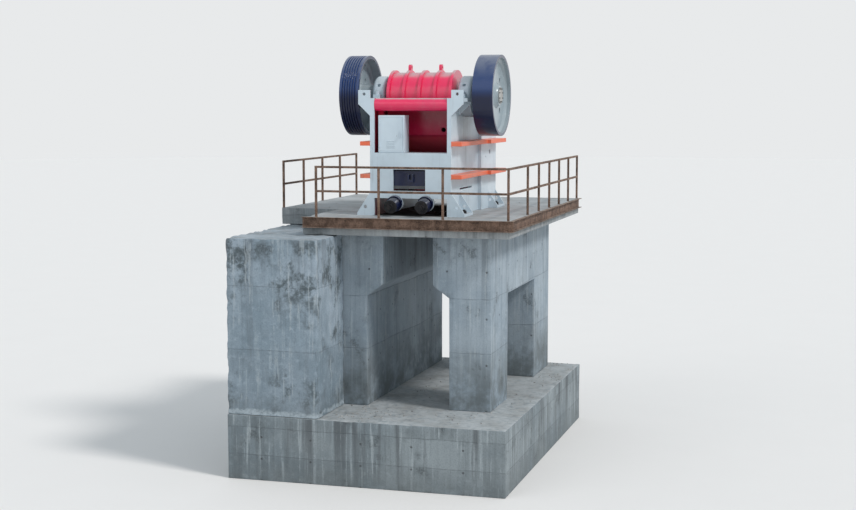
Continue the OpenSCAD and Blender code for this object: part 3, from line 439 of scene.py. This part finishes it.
def castSteel():
    paint = Paint("cast_manganese_steel")
    wide = paint.noise(3.0, 5.0, 0.6)
    skin = paint.noise(60.0, 6.0, 0.7)
    pits = paint.cells(90.0)
    paint.colour = paint.mixed(wide.step(0.35, 0.65), tone(0.34, 0.33, 0.32), tone(0.46, 0.42, 0.38))
    paint.over(skin.step(0.5, 0.7) * 0.5, rustTone)
    paint.over(paint.up.step(0.2, 0.9) * 0.6, dustTone)
    height = skin - (1.0 - pits.step(0.05, 0.2)) * 0.5
    return paint.finish(0.62 + skin * 0.25, 0.35, paint.bumped(height, 0.003, 0.7))


def darkIron():
    paint = Paint("dark_iron")
    film = paint.noise(12.0, 6.0, 0.65)
    skin = paint.noise(90.0, 5.0, 0.7)
    paint.colour = paint.mixed(film.step(0.35, 0.7), tone(0.12, 0.13, 0.15), tone(0.23, 0.22, 0.22))
    paint.over(skin.step(0.57, 0.7) * 0.3, rustTone)
    return paint.finish(0.5 + skin * 0.3, 0.5, paint.bumped(skin, 0.0015, 0.6))


slotOf = {row["node"]: row["material_slot"] for row in frame["record"]["subparts"]}
bodyOf = {name: node["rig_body"] for name, node in nodes.items()}
welding = {"gap": 2e-5, "flat": math.radians(0.4)}


# A node's loose triangles, welded back into whole faces
def weldedShape(name):
    shape = bmesh.new()
    shape.from_mesh(nodes[name].data)
    bmesh.ops.remove_doubles(shape, verts=shape.verts, dist=welding["gap"])
    bmesh.ops.dissolve_limit(shape, angle_limit=welding["flat"], verts=shape.verts, edges=shape.edges)
    return shape


def linked(name, data):
    made = bpy.data.objects.new(name, data)
    bpy.context.scene.collection.objects.link(made)
    return made


def objectFrom(name, shape, material):
    mesh = bpy.data.meshes.new(name)
    shape.to_mesh(mesh)
    shape.free()
    mesh.materials.append(material)
    return linked(name, mesh)


def roundShading(piece, degrees=32):
    piece.data.shade_smooth()
    piece.data.set_sharp_from_angle(angle=math.radians(degrees))


# Turns the modifiers' result into the piece's own mesh
def settle(piece):
    graph = bpy.context.evaluated_depsgraph_get()
    mesh = bpy.data.meshes.new_from_object(piece.evaluated_get(graph), depsgraph=graph)
    piece.modifiers.clear()
    piece.data = mesh
    return piece


def place(piece, body, slot, *replaced):
    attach(piece, body)
    if replaced:
        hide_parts(*replaced)
    return piece


# Concrete blocks with chamfered, chipped edges and an uneven skin
castBlocks = {
    "plinth": {"grid": 0.11, "chamfer": 0.018, "wave": 0.007, "chip": 0.05, "rough": 0.0},
    "left_pier": {"grid": 0.13, "chamfer": 0.012, "wave": 0.004, "chip": 0.025, "rough": 0.0},
    "right_pier": {"grid": 0.13, "chamfer": 0.012, "wave": 0.004, "chip": 0.025, "rough": 0.0},
    "left_abutment": {"grid": 0.065, "chamfer": 0.03, "wave": 0.012, "chip": 0.07, "rough": 0.022},
    "deck_slab": {"grid": 0.12, "chamfer": 0.010, "wave": 0.004, "chip": 0.03, "rough": 0.0},
}
# Edges over this length and angle are chamfered, and a normal this near an axis counts as flat
castEdges = {"long": 0.45, "sharp": 0.6, "flat": 0.985}
# Noise scales of the skin, and the level above which an edge chips off
castNoise = {"wave": 1.7, "rough": 5.0, "fractal": (0.8, 2.0, 4),
             "chip": 2.9, "chipShift": Vector((5, 9, 2)), "chipFrom": 0.16}


def castBlock(name, material):
    look = castBlocks[name]
    low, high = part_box(name)
    shape = weldedShape(name)
    longEdges = [edge for edge in shape.edges if edge.is_manifold and edge.calc_length() > castEdges["long"]
                 and edge.calc_face_angle() > castEdges["sharp"]]
    bmesh.ops.bevel(shape, geom=longEdges, offset=look["chamfer"], segments=2, profile=0.5, affect="EDGES",
                    clamp_overlap=True)
    for axis in range(3):
        along = Vector([1.0 if i == axis else 0.0 for i in range(3)])
        steps = int((high[axis] - low[axis]) / look["grid"])
        for i in range(1, steps):
            cut = low + along * (high[axis] - low[axis]) * i / steps
            everything = shape.verts[:] + shape.edges[:] + shape.faces[:]
            bmesh.ops.bisect_plane(shape, geom=everything, dist=1e-5, plane_co=cut, plane_no=along)
    shape.normal_update()
    for vert in shape.verts:
        sink = look["wave"] * (0.5 + 0.5 * noise.noise(vert.co * castNoise["wave"]))
        lumps = noise.fractal(vert.co * castNoise["rough"], *castNoise["fractal"])
        sink += look["rough"] * max(0.0, 0.5 + lumps)
        if max(abs(part) for part in vert.normal) <= castEdges["flat"]:
            chip = noise.noise(vert.co * castNoise["chip"] + castNoise["chipShift"])
            sink += look["chip"] * max(0.0, chip - castNoise["chipFrom"])
        if vert.co.z > low.z + 0.01 and vert.normal.z > -0.7:  # the underside stays flat
            vert.co -= vert.normal * sink
    piece = objectFrom(name + "_cast", shape, material)
    roundShading(piece, 38)
    return place(piece, "frame", slotOf[name], name)


concrete = {kind: castConcrete(kind) for kind in concreteLook}
for name, kind in (("plinth", "plinth"), ("left_pier", "pier"), ("right_pier", "pier"),
                   ("left_abutment", "abutment"), ("deck_slab", "deck")):
    castBlock(name, concrete[kind])
print("foundation cast")


# Machine castings and plates: the node's own faces with rounded edges
def dressed(name, material, bevel):
    piece = objectFrom(name + "_dressed", weldedShape(name), material)
    roundShading(piece)
    rounding = piece.modifiers.new("rounding", "BEVEL")
    rounding.width = bevel
    rounding.segments = 2
    rounding.limit_method = "ANGLE"
    rounding.angle_limit = math.radians(38)
    rounding.harden_normals = True
    rounding.use_clamp_overlap = True
    return place(settle(piece), bodyOf[name], slotOf[name], name)


cream = machinePaint("cream")
orange = machinePaint("orange")
red = machinePaint("red")
white = machinePaint("white")
navy = machinePaint("navy")
rust = rustySteel()
steel = turnedSteel()
manganese = castSteel()
iron = darkIron()
wheelFinish = wheelPaint()
pitmanFinish = pitmanPaint()

dressings = [
    (("left_side_wall", "right_side_wall"), cream, 0.007),
    (("front_wall", "rear_wall"), cream, 0.005),
    (("left_bearing_housing", "right_bearing_housing"), cream, 0.006),
    (("left_wall_ribs", "right_wall_ribs", "front_wall_ribs"), orange, 0.006),
    (("rear_cross_beam", "jaw_wedge_bar"), red, 0.006),
    (("pitman",), pitmanFinish, 0.008),
    (("left_grooved_wheel", "right_flywheel"), wheelFinish, 0.004),
    (("spring_cups", "adjusting_block"), navy, 0.004),
    (("moving_jaw_plate", "fixed_jaw_plate", "left_cheek_plate", "right_cheek_plate"), manganese, 0.008),
    (("eccentric_shaft", "wheel_locking_rings"), steel, 0.003),
    (("toggle_plate", "front_toggle_seat", "rear_toggle_seat", "anchor_bolts"), iron, 0.003),
    (("tension_rods", "rod_nuts"), iron, 0.003),
    (("deck_edge_channel", "front_guard_rail", "right_guard_rail", "left_guard_rail"), rust, 0.0025),
]
castings = {name: dressed(name, material, bevel) for names, material, bevel in dressings for name in names}

# The journal turns in the pitman's bore, so its facets keep clear of the bore's
journal = {"past": 0.02, "clear": 0.0010}
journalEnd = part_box("pitman")[1].x + journal["past"]
for vert in castings["eccentric_shaft"].data.vertices:
    if abs(vert.co.x) < journalEnd:
        vert.co -= vert.normal * journal["clear"]
print("castings dressed")


# A Geometry Nodes tree under construction, with its sizes as named inputs
class Recipe:
    def __init__(self, name, sizes):
        self.tree = bpy.data.node_groups.new(name, "GeometryNodeTree")
        self.sizes = {}
        face = self.tree.interface
        for way in ("INPUT", "OUTPUT"):
            face.new_socket("Geometry", in_out=way, socket_type="NodeSocketGeometry")
        for label, value in sizes.items():
            kind = "NodeSocketInt" if isinstance(value, int) else "NodeSocketFloat"
            socket = face.new_socket(label, in_out="INPUT", socket_type=kind)
            socket.default_value = value
            self.sizes[label] = socket.identifier
        self.start = self.tree.nodes.new("NodeGroupInput")
        self.end = self.tree.nodes.new("NodeGroupOutput")

    def given(self, label):
        return self.start.outputs[label]

    def add(self, kind, settings, values, out=0):
        node = self.tree.nodes.new(kind)
        for name, value in settings.items():
            setattr(node, name, value)
        for key, value in values.items():
            if isinstance(value, bpy.types.NodeSocket):
                self.tree.links.new(value, node.inputs[key])
            elif isinstance(value, list):  # sockets to be joined
                for part in reversed(value):
                    self.tree.links.new(part, node.inputs[key])
            else:
                node.inputs[key].default_value = value
        return node.outputs[out]

    def times(self, first, second):
        return self.add("ShaderNodeMath", {"operation": "MULTIPLY"}, {0: first, 1: second})

    def plus(self, first, second):
        return self.add("ShaderNodeMath", {"operation": "ADD"}, {0: first, 1: second})

    def close(self, geometry, material):
        realized = self.add("GeometryNodeRealizeInstances", {}, {"Geometry": geometry})
        painted = self.add("GeometryNodeSetMaterial", {}, {"Geometry": realized, "Material": material})
        self.tree.links.new(painted, self.end.inputs[0])
        return self

    # Runs the recipe on a mesh and leaves a plain mesh behind
    def run(self, piece, sizes):
        maker = piece.modifiers.new("recipe", "NODES")
        maker.node_group = self.tree
        for label, value in sizes.items():
            maker[self.sizes[label]] = value
        return settle(piece)


# Hexagon bolt with washer and stub, set on every vertex along its own "aim"
def boltRecipe(material):
    recipe = Recipe("bolts", {"Head Radius": 0.02, "Head Height": 0.016, "Washer Radius": 0.026,
                              "Stub Height": 0.012, "Seed": 3})
    add = recipe.add
    radius, height = recipe.given("Head Radius"), recipe.given("Head Height")
    thin = recipe.times(height, 0.2)
    washer = add("GeometryNodeMeshCylinder", {}, {"Vertices": 16, "Radius": recipe.given("Washer Radius"),
                                                  "Depth": thin}, "Mesh")
    head = add("GeometryNodeMeshCylinder", {}, {"Vertices": 6, "Radius": radius, "Depth": height}, "Mesh")
    stub = add("GeometryNodeMeshCylinder", {}, {"Vertices": 10, "Radius": recipe.times(radius, 0.55),
                                                "Depth": recipe.given("Stub Height")}, "Mesh")
    headUp = recipe.plus(recipe.times(height, 0.5), thin)
    stubUp = recipe.plus(recipe.plus(height, thin), recipe.times(recipe.given("Stub Height"), 0.5))
    lifted = [washer]
    for part, up in ((head, headUp), (stub, stubUp)):
        shift = add("ShaderNodeCombineXYZ", {}, {"Z": up})
        lifted.append(add("GeometryNodeTransform", {}, {"Geometry": part, "Translation": shift}))
    bolt = add("GeometryNodeJoinGeometry", {}, {"Geometry": lifted})
    aim = add("GeometryNodeInputNamedAttribute", {"data_type": "FLOAT_VECTOR"}, {"Name": "aim"})
    turn = add("FunctionNodeRandomValue", {"data_type": "FLOAT"},
               {2: 0.0, 3: math.tau, "Seed": recipe.given("Seed")}, 1)
    spun = add("ShaderNodeCombineXYZ", {}, {"Z": turn})
    upright = add("FunctionNodeAlignRotationToVector", {"axis": "Z"}, {"Rotation": spun, "Vector": aim})
    spread = add("GeometryNodeInstanceOnPoints", {},
                 {"Points": recipe.given("Geometry"), "Instance": bolt, "Rotation": upright})
    return recipe.close(spread, material)


def pointsObject(name, spots):
    mesh = bpy.data.meshes.new(name)
    mesh.from_pydata([tuple(spot) for spot, aim in spots], [], [])
    aims = mesh.attributes.new("aim", "FLOAT_VECTOR", "POINT")
    for i, (spot, aim) in enumerate(spots):
        aims.data[i].vector = Vector(aim).normalized()
    return linked(name, mesh)


# A circle of spots about the shaft, on the face at x
def circleSpots(look, x):
    spots = []
    for i in range(look["count"]):
        angle = math.tau * (i + 0.5) / look["count"]
        y = shaftAxis.y + look["circle"] * math.cos(angle)
        z = shaftAxis.z + look["circle"] * math.sin(angle)
        spots.append(((x, y, z), (1 if x > 0 else -1, 0, 0)))
    return spots


# Sorted distinct coordinates of a node's corners along one axis
def levels(name, axis):
    return sorted({round(vert.co[axis], 4) for vert in nodes[name].data.vertices})


def middleOf(points):
    return sum(points, Vector()) / len(points)


boltLook = {
    "housing": {"count": 8, "circle": 0.235, "head": 0.020, "height": 0.016},
    "ring": {"count": 8, "circle": 0.130, "head": 0.010, "height": 0.009},
    "jaw": {"bays": 5, "head": 0.034, "height": 0.028, "rows": (0.42, 1.06, 1.72)},
    "wedge": {"count": 5, "head": 0.024, "height": 0.018},
    "cheek": {"head": 0.029, "height": 0.026, "fromFront": 0.512, "up": 1.130},
    "cheekLow": {"head": 0.013, "height": 0.014, "fromFront": 0.834, "up": 1.038},
    "washerShare": 1.35, "stubShare": 0.5,
}


# Points on the wedge bar's sloping outer face
def wedgeSpots(count):
    bar = nodes["jaw_wedge_bar"].data
    face = max(bar.polygons, key=lambda polygon: polygon.normal.y * 2 + polygon.normal.z)
    alike = [polygon for polygon in bar.polygons if polygon.normal.dot(face.normal) > 0.999]
    corners = [bar.vertices[i].co for polygon in alike for i in polygon.vertices]
    middle = middleOf(corners)
    low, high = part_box("jaw_wedge_bar")
    across = [low.x + (high.x - low.x) * (i + 0.5) / count for i in range(count)]
    return [((x, middle.y, middle.z), tuple(face.normal)) for x in across]


# Spots in the side walls' two round holes, on the cheek plates behind them
def cheekSpots(look):
    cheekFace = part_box("right_cheek_plate")[1].x
    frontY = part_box("right_side_wall")[1].y
    y, z = frontY - look["fromFront"], deckTop + look["up"]
    return [((side * cheekFace, y, z), (side, 0, 0)) for side in (-1, 1)]


def boltGroups():
    groups = []
    housing, ring, jaw, wedge = (boltLook[kind] for kind in ("housing", "ring", "jaw", "wedge"))
    for name, end in (("left_bearing_housing", 0), ("right_bearing_housing", 1)):
        groups.append((name + "_bolts", "frame", circleSpots(housing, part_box(name)[end].x), housing))
    ringSpots = [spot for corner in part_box("wheel_locking_rings") for spot in circleSpots(ring, corner.x)]
    groups.append(("locking_ring_screws", "rotor", ringSpots, ring))
    low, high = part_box("front_wall")
    plateY = [y for y in levels("front_wall", 1) if y > low.y + 0.05][0]
    pitch = (high.x - low.x) / jaw["bays"]
    spots = [((low.x + (i + 0.5) * pitch, plateY, deckTop + z), (0, 1, 0))
             for i in range(jaw["bays"]) for z in jaw["rows"]]
    groups.append(("fixed_jaw_bolts", "frame", spots, jaw))
    groups.append(("wedge_bar_bolts", "pitman", wedgeSpots(wedge["count"]), wedge))
    for name, look in (("cheek_bolts", boltLook["cheek"]), ("cheek_low_bolts", boltLook["cheekLow"])):
        groups.append((name, "frame", cheekSpots(look), look))
    return groups


# Coil standing on every vertex along its own "aim", with capped ends
def springRecipe(material):
    recipe = Recipe("spring", {"Turns": 4.0, "Coil Radius": 0.1, "Height": 0.22, "Wire Radius": 0.02})
    add = recipe.add
    coil = add("GeometryNodeCurveSpiral", {}, {"Resolution": 40, "Rotations": recipe.given("Turns"),
                                               "Start Radius": recipe.given("Coil Radius"),
                                               "End Radius": recipe.given("Coil Radius"),
                                               "Height": recipe.given("Height"), "Reverse": False})
    ring = add("GeometryNodeCurvePrimitiveCircle", {},
               {"Resolution": 16, "Radius": recipe.given("Wire Radius")})
    wire = add("GeometryNodeCurveToMesh", {}, {"Curve": coil, "Profile Curve": ring, "Fill Caps": True})
    smooth = add("GeometryNodeSetShadeSmooth", {}, {"Geometry": wire})
    aim = add("GeometryNodeInputNamedAttribute", {"data_type": "FLOAT_VECTOR"}, {"Name": "aim"})
    upright = add("FunctionNodeAlignRotationToVector", {"axis": "Z"}, {"Vector": aim})
    spread = add("GeometryNodeInstanceOnPoints", {},
                 {"Points": recipe.given("Geometry"), "Instance": smooth, "Rotation": upright})
    return recipe.close(spread, material)


# Rippled bead along every edge of the piece's mesh
def weldRecipe(material):
    recipe = Recipe("weld", {"Bead Radius": 0.007, "Step": 0.011, "Seed": 11})
    add = recipe.add
    line = add("GeometryNodeMeshToCurve", {}, {"Mesh": recipe.given("Geometry")})
    fine = add("GeometryNodeResampleCurve", {"mode": "LENGTH"},
               {"Curve": line, "Length": recipe.given("Step")})
    ripple = add("FunctionNodeRandomValue", {"data_type": "FLOAT"},
                 {2: 0.62, 3: 1.18, "Seed": recipe.given("Seed")}, 1)
    size = recipe.times(recipe.given("Bead Radius"), ripple)
    ring = add("GeometryNodeCurvePrimitiveCircle", {}, {"Resolution": 7, "Radius": 1.0})
    bead = add("GeometryNodeCurveToMesh", {}, {"Curve": fine, "Profile Curve": ring, "Scale": size,
                                               "Fill Caps": True})
    smooth = add("GeometryNodeSetShadeSmooth", {}, {"Geometry": bead})
    return recipe.close(smooth, material)


def linesObject(name, lines):
    mesh = bpy.data.meshes.new(name)
    verts = [tuple(point) for line in lines for point in line]
    mesh.from_pydata(verts, [(2 * i, 2 * i + 1) for i in range(len(lines))], [])
    return linked(name, mesh)


bolts = boltRecipe(iron)
for name, body, spots, look in boltGroups():
    piece = pointsObject(name, spots)
    bolts.run(piece, {"Head Radius": look["head"], "Head Height": look["height"], "Seed": len(spots),
                      "Washer Radius": look["head"] * boltLook["washerShare"],
                      "Stub Height": look["height"] * boltLook["stubShare"]})
    place(piece, body, "dark_iron")
print("bolts set")


# The two coil springs fill the place of the node's own, cup to nut
springLook = {"turns": 5.0, "wire": 0.020, "clear": 0.001}


def cornersOf(name, side):
    return [vert.co for vert in nodes[name].data.vertices if vert.co.x * side > 0]


def tensionSprings():
    spots = []
    wire = springLook["wire"]
    for side in (-1, 1):
        start = middleOf(cornersOf("spring_cups", side))
        axis = (middleOf(cornersOf("rod_nuts", side)) - start).normalized()
        offsets = [point - start for point in cornersOf("tension_springs", side)]
        depths = [offset.dot(axis) for offset in offsets]
        reach = max((offset - axis * offset.dot(axis)).length for offset in offsets)
        spots.append((start + axis * (min(depths) + wire), axis))
    piece = pointsObject("tension_springs_coiled", spots)
    radius = reach - wire - springLook["clear"]  # both springs are alike
    height = max(depths) - min(depths) - 2 * wire
    springRecipe(navy).run(piece, {"Turns": springLook["turns"], "Coil Radius": radius, "Height": height,
                                   "Wire Radius": wire})
    place(piece, "frame", slotOf["tension_springs"], "tension_springs")


tensionSprings()
print("springs coiled")


# Weld beads along the side ribs and round the foot of each rail post
weldLook = {"bead": 0.007, "step": 0.012, "postBead": 0.005, "postSides": (0.02, 0.06), "lift": 0.001}


def ribSeams():
    lines = []
    for side in ("left", "right"):
        name = side + "_wall_ribs"
        low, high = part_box(name)
        sign = 1 if side == "right" else -1
        wallX, thickX = (sign * x for x in sorted(abs(x) for x in levels(name, 0))[:2])
        stepY = [y for y in levels(name, 1) if low.y + 0.1 < y < high.y - 0.1][0]
        for z in levels(name, 2):
            lines.append(((wallX, low.y, z), (wallX, stepY, z)))
            lines.append(((thickX, stepY, z), (thickX, high.y, z)))
    return lines


def postSeams():
    lines = []
    shortest, longest = weldLook["postSides"]
    z = deckTop + weldLook["lift"]
    for name in ("front_guard_rail", "right_guard_rail", "left_guard_rail"):
        feet = [vert.co for vert in nodes[name].data.vertices if vert.co.z < z]
        corners = sorted({(round(co.x, 3), round(co.y, 3)) for co in feet})
        for corner in corners:
            for other in corners:
                apart = abs(other[0] - corner[0]) + abs(other[1] - corner[1])
                if shortest < apart < longest and corner < other:
                    lines.append(((*corner, z), (*other, z)))
    return lines


def weldPieces():
    for name, lines, bead, finish, slot in (
            ("rib_welds", ribSeams(), weldLook["bead"], orange, "orange_paint"),
            ("rail_post_welds", postSeams(), weldLook["postBead"], rust, "rusty_steel")):
        piece = linesObject(name, lines)
        weldRecipe(finish).run(piece, {"Bead Radius": bead, "Step": weldLook["step"], "Seed": len(lines)})
        place(piece, "frame", slot)


weldPieces()
print("welds laid")


# Stone crumbs and spilt fines on the flat tops, scattered with a fixed seed
crumbLook = {"deck_slab": {"count": 240, "size": 0.018, "seed": 5},
             "plinth": {"count": 420, "size": 0.028, "seed": 8},
             "clear": 0.035, "above": 0.10, "reach": 0.11, "sunk": 0.003,
             "anywhere": 0.10, "gather": 2.4, "patch": 0.9}


def crumbRecipe(material):
    recipe = Recipe("crumbs", {"Size": 0.02, "Seed": 3})
    add = recipe.add
    stone = add("GeometryNodeMeshIcoSphere", {}, {"Radius": 1.0, "Subdivisions": 1}, "Mesh")
    spot = add("GeometryNodeInputPosition", {}, {})
    lumps = add("ShaderNodeTexNoise", {}, {"Vector": spot, "Scale": 1.4, "Detail": 2.0}, "Color")
    centred = add("ShaderNodeVectorMath", {"operation": "SUBTRACT"}, {0: lumps, 1: (0.5, 0.5, 0.5)})
    pushed = add("ShaderNodeVectorMath", {"operation": "SCALE"}, {0: centred, "Scale": 1.3})
    stone = add("GeometryNodeSetPosition", {}, {"Geometry": stone, "Offset": pushed})
    seed = recipe.given("Seed")
    size = add("FunctionNodeRandomValue", {"data_type": "FLOAT"}, {2: 0.25, 3: 1.0, "Seed": seed}, 1)
    size = recipe.times(recipe.times(size, size), recipe.given("Size"))
    turn = add("FunctionNodeRandomValue", {"data_type": "FLOAT_VECTOR"},
               {0: (0.0, 0.0, 0.0), 1: (0.5, 0.5, math.tau), "Seed": seed})
    flat = add("ShaderNodeCombineXYZ", {},
               {"X": size, "Y": recipe.times(size, 0.8), "Z": recipe.times(size, 0.5)})
    spread = add("GeometryNodeInstanceOnPoints", {}, {"Points": recipe.given("Geometry"), "Instance": stone,
                                                      "Rotation": turn, "Scale": flat})
    return recipe.close(spread, material)


def crumbStone():
    paint = Paint("stone_crumbs")
    shade = paint.noise(22.0, 4.0, 0.6)
    paint.colour = paint.mixed(shade.step(0.35, 0.65), tone(0.42, 0.42, 0.41), tone(0.70, 0.69, 0.67))
    return paint.finish(0.9)


# Free points on a slab's flat top, gathered where the noise is high
def freeSpots(name, count, seed, standing):
    chance = random.Random(seed)
    mesh = nodes[name].data
    slab = BVHTree.FromPolygons([vert.co for vert in mesh.vertices],
                                [tuple(face.vertices) for face in mesh.polygons])
    low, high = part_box(name)
    gap = crumbLook["clear"]
    blockers = [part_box(other) for other in standing]
    spots = []
    while len(spots) < count:
        x, y = chance.uniform(low.x + gap, high.x - gap), chance.uniform(low.y + gap, high.y - gap)
        around = [(x + gap * i, y + gap * j) for i in (-1, 1) for j in (-1, 1)]
        onTop = all(slab.ray_cast(Vector((a, b, high.z + crumbLook["above"])), Vector((0, 0, -1)),
                                  crumbLook["reach"])[0] for a, b in around)
        free = not any(box[0].x - gap < x < box[1].x + gap and box[0].y - gap < y < box[1].y + gap
                       for box in blockers)
        crowd = noise.noise((x * crumbLook["patch"], y * crumbLook["patch"], seed)) * crumbLook["gather"]
        gathered = chance.random() < crumbLook["anywhere"] + max(0.0, crowd)
        if onTop and free and gathered:
            spots.append(((x, y, high.z - crumbLook["sunk"]), (0, 0, 1)))
    return spots


def scatterCrumbs():
    crumbs = crumbRecipe(crumbStone())
    onDeck = ("left_side_wall", "right_side_wall", "rear_wall", "front_guard_rail", "left_guard_rail",
              "right_guard_rail")
    for name, standing in (("deck_slab", onDeck), ("plinth", ("left_pier", "right_pier", "left_abutment"))):
        look = crumbLook[name]
        piece = pointsObject(name + "_crumbs", freeSpots(name, look["count"], look["seed"], standing))
        crumbs.run(piece, {"Size": look["size"], "Seed": look["seed"]})
        place(piece, "frame", slotOf[name])


scatterCrumbs()
print("crumbs scattered")


# Cabinet: rounded sheet box, a door with a seam, hinges, a handle and louvres. The plate's numbers are its
# half width, how far it stands out and its half height, the spindle's its radius and how far it stands out,
# and the handle's its half width, its outer and inner face and how far it reaches down and up.
cabinetLook = {"round": 0.012, "border": 0.030, "seam": 0.005, "sink": 0.006, "proud": 0.001,
               "hinge": 0.012, "hingeLong": 0.07, "hingeUp": 0.14, "hingeOut": 0.004,
               "gripIn": 0.075, "plate": (0.014, 0.010, 0.055), "spindle": (0.009, 0.022),
               "handle": (0.006, 0.030, 0.020, 0.07, 0.02),
               "louvres": 5, "louvreUp": 0.10, "louvreWide": 0.16, "louvreHigh": 0.012, "louvreOut": 0.008,
               "louvrePitch": 0.03}


def boxInto(shape, low, high):
    made = bmesh.ops.create_cube(shape, size=1.0)["verts"]
    centre, size = (Vector(low) + Vector(high)) / 2, Vector(high) - Vector(low)
    for vert in made:
        vert.co = centre + Vector([vert.co[i] * size[i] for i in range(3)])
    return made


def rodInto(shape, start, end, radius):
    start, end = Vector(start), Vector(end)
    turn = (end - start).to_track_quat("Z", "Y").to_matrix().to_4x4()
    matrix = Matrix.Translation((start + end) / 2) @ turn
    bmesh.ops.create_cone(shape, cap_ends=True, segments=12, radius1=radius, radius2=radius,
                          depth=(end - start).length, matrix=matrix)


def cabinetPiece():
    look = cabinetLook
    low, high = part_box("cabinet")
    shape = bmesh.new()
    boxInto(shape, low, high)
    bmesh.ops.bevel(shape, geom=shape.edges[:], offset=look["round"], segments=3, profile=0.5,
                    affect="EDGES")
    door = min(shape.faces, key=lambda face: face.calc_center_median().y)
    bmesh.ops.inset_individual(shape, faces=[door], thickness=look["border"])
    bmesh.ops.inset_individual(shape, faces=[door], thickness=look["seam"], depth=-look["sink"])
    bmesh.ops.inset_individual(shape, faces=[door], thickness=0.001, depth=look["sink"])
    edge = low.x + look["border"]
    front = low.y - look["proud"]
    for z in (low.z + look["hingeUp"], high.z - look["hingeUp"]):
        y, reach = front - look["hingeOut"], look["hingeLong"] / 2
        rodInto(shape, (edge, y, z - reach), (edge, y, z + reach), look["hinge"])
    gripX, middle = high.x - look["gripIn"], (low.z + high.z) / 2
    wide, out, tall = look["plate"]
    boxInto(shape, (gripX - wide, front - out, middle - tall), (gripX + wide, front + 0.002, middle + tall))
    radius, out = look["spindle"]
    rodInto(shape, (gripX, front - out, middle), (gripX, front, middle), radius)
    wide, out, back, down, up = look["handle"]
    boxInto(shape, (gripX - wide, front - out, middle - down), (gripX + wide, front - back, middle + up))
    x, wide, tall = (low.x + high.x) / 2, look["louvreWide"] / 2, look["louvreHigh"]
    for i in range(look["louvres"]):
        z = low.z + look["louvreUp"] + i * look["louvrePitch"]
        louvre = boxInto(shape, (x - wide, front - look["louvreOut"], z), (x + wide, front, z + tall))
        for vert in louvre:  # the upper outer edge goes back to the door, so the louvre slopes
            if vert.co.y < front - look["louvreOut"] / 2 and vert.co.z > z + tall / 2:
                vert.co.y = front
    piece = objectFrom("cabinet_dressed", shape, white)
    roundShading(piece, 30)
    return place(piece, "frame", slotOf["cabinet"], "cabinet")


cabinetPiece()
print("cabinet made")


# Turns a camera or lamp to look along a direction
def faceAlong(thing, direction):
    thing.rotation_mode = "QUATERNION"
    thing.rotation_quaternion = direction.to_track_quat("-Z", "Y")


view = {"from": (8.15, -26.6, 6.98), "at": (-0.25, 2.2, 3.88), "lens": 63.0, "far": 500.0}
camera = linked("camera", bpy.data.cameras.new("camera"))
camera.data.lens = view["lens"]
camera.data.clip_end = view["far"]
camera.location = view["from"]
faceAlong(camera, Vector(view["at"]) - Vector(view["from"]))
bpy.context.scene.camera = camera

# Light: a soft key from the upper right front, a wide fill, and a pale world
lighting = {"key": 1.75, "keySize": 12.0, "keyFrom": (12.0, -4.0, 12.0),
            "fill": 0.30, "fillSize": 40.0, "fillFrom": (-9.0, -14.0, 8.0),
            "world": 0.66, "sky": tone(0.90, 0.955, 1.0), "backdrop": tone(0.91, 0.917, 0.921)}


def sunLamp(name):
    lamp = linked(name, bpy.data.lights.new(name, "SUN"))
    lamp.data.energy = lighting[name]
    lamp.data.angle = math.radians(lighting[name + "Size"])
    faceAlong(lamp, -Vector(lighting[name + "From"]))


sunLamp("key")
sunLamp("fill")


# Sky light for the object, and a pale backdrop for the camera and in reflections
def paleWorld():
    world = bpy.data.worlds.new("studio")
    sky = ShaderTree(world)
    path = sky.add("ShaderNodeLightPath", {}, {}).out.node
    rays = ("Is Camera Ray", "Is Glossy Ray", "Is Transmission Ray")
    seen = [Sock(sky, path.outputs[ray]) for ray in rays]
    share = sky.add("ShaderNodeMath", {"operation": "ADD", "use_clamp": True},
                    {0: seen[0] + seen[1], 1: seen[2]})
    ambient = sky.add("ShaderNodeBackground", {}, {"Color": lighting["sky"], "Strength": lighting["world"]})
    backdrop = sky.add("ShaderNodeBackground", {}, {"Color": lighting["backdrop"]})
    both = sky.add("ShaderNodeMixShader", {}, {0: share, 1: ambient, 2: backdrop})
    sky.add("ShaderNodeOutputWorld", {}, {"Surface": both})
    bpy.context.scene.world = world


paleWorld()


# The floor lies just below the plinth, and its tone meets the backdrop's at the horizon
floorLook = {"radius": 160.0, "sides": 96, "below": 0.002, "tone": tone(0.923, 0.902, 0.882),
             "pale": tone(0.932, 0.911, 0.891)}


def paleFloor():
    shape = bmesh.new()
    bmesh.ops.create_circle(shape, cap_ends=True, radius=floorLook["radius"], segments=floorLook["sides"])
    for vert in shape.verts:
        vert.co.z = -floorLook["below"]
    paint = Paint("pale_floor")
    paint.colour = paint.mixed(paint.noise(0.8, 3.0, 0.5), floorLook["tone"], floorLook["pale"])
    floor = objectFrom("floor", shape, paint.finish(0.9))


paleFloor()
print("stage lit")

bpy.context.scene.view_settings.view_transform = "Standard"
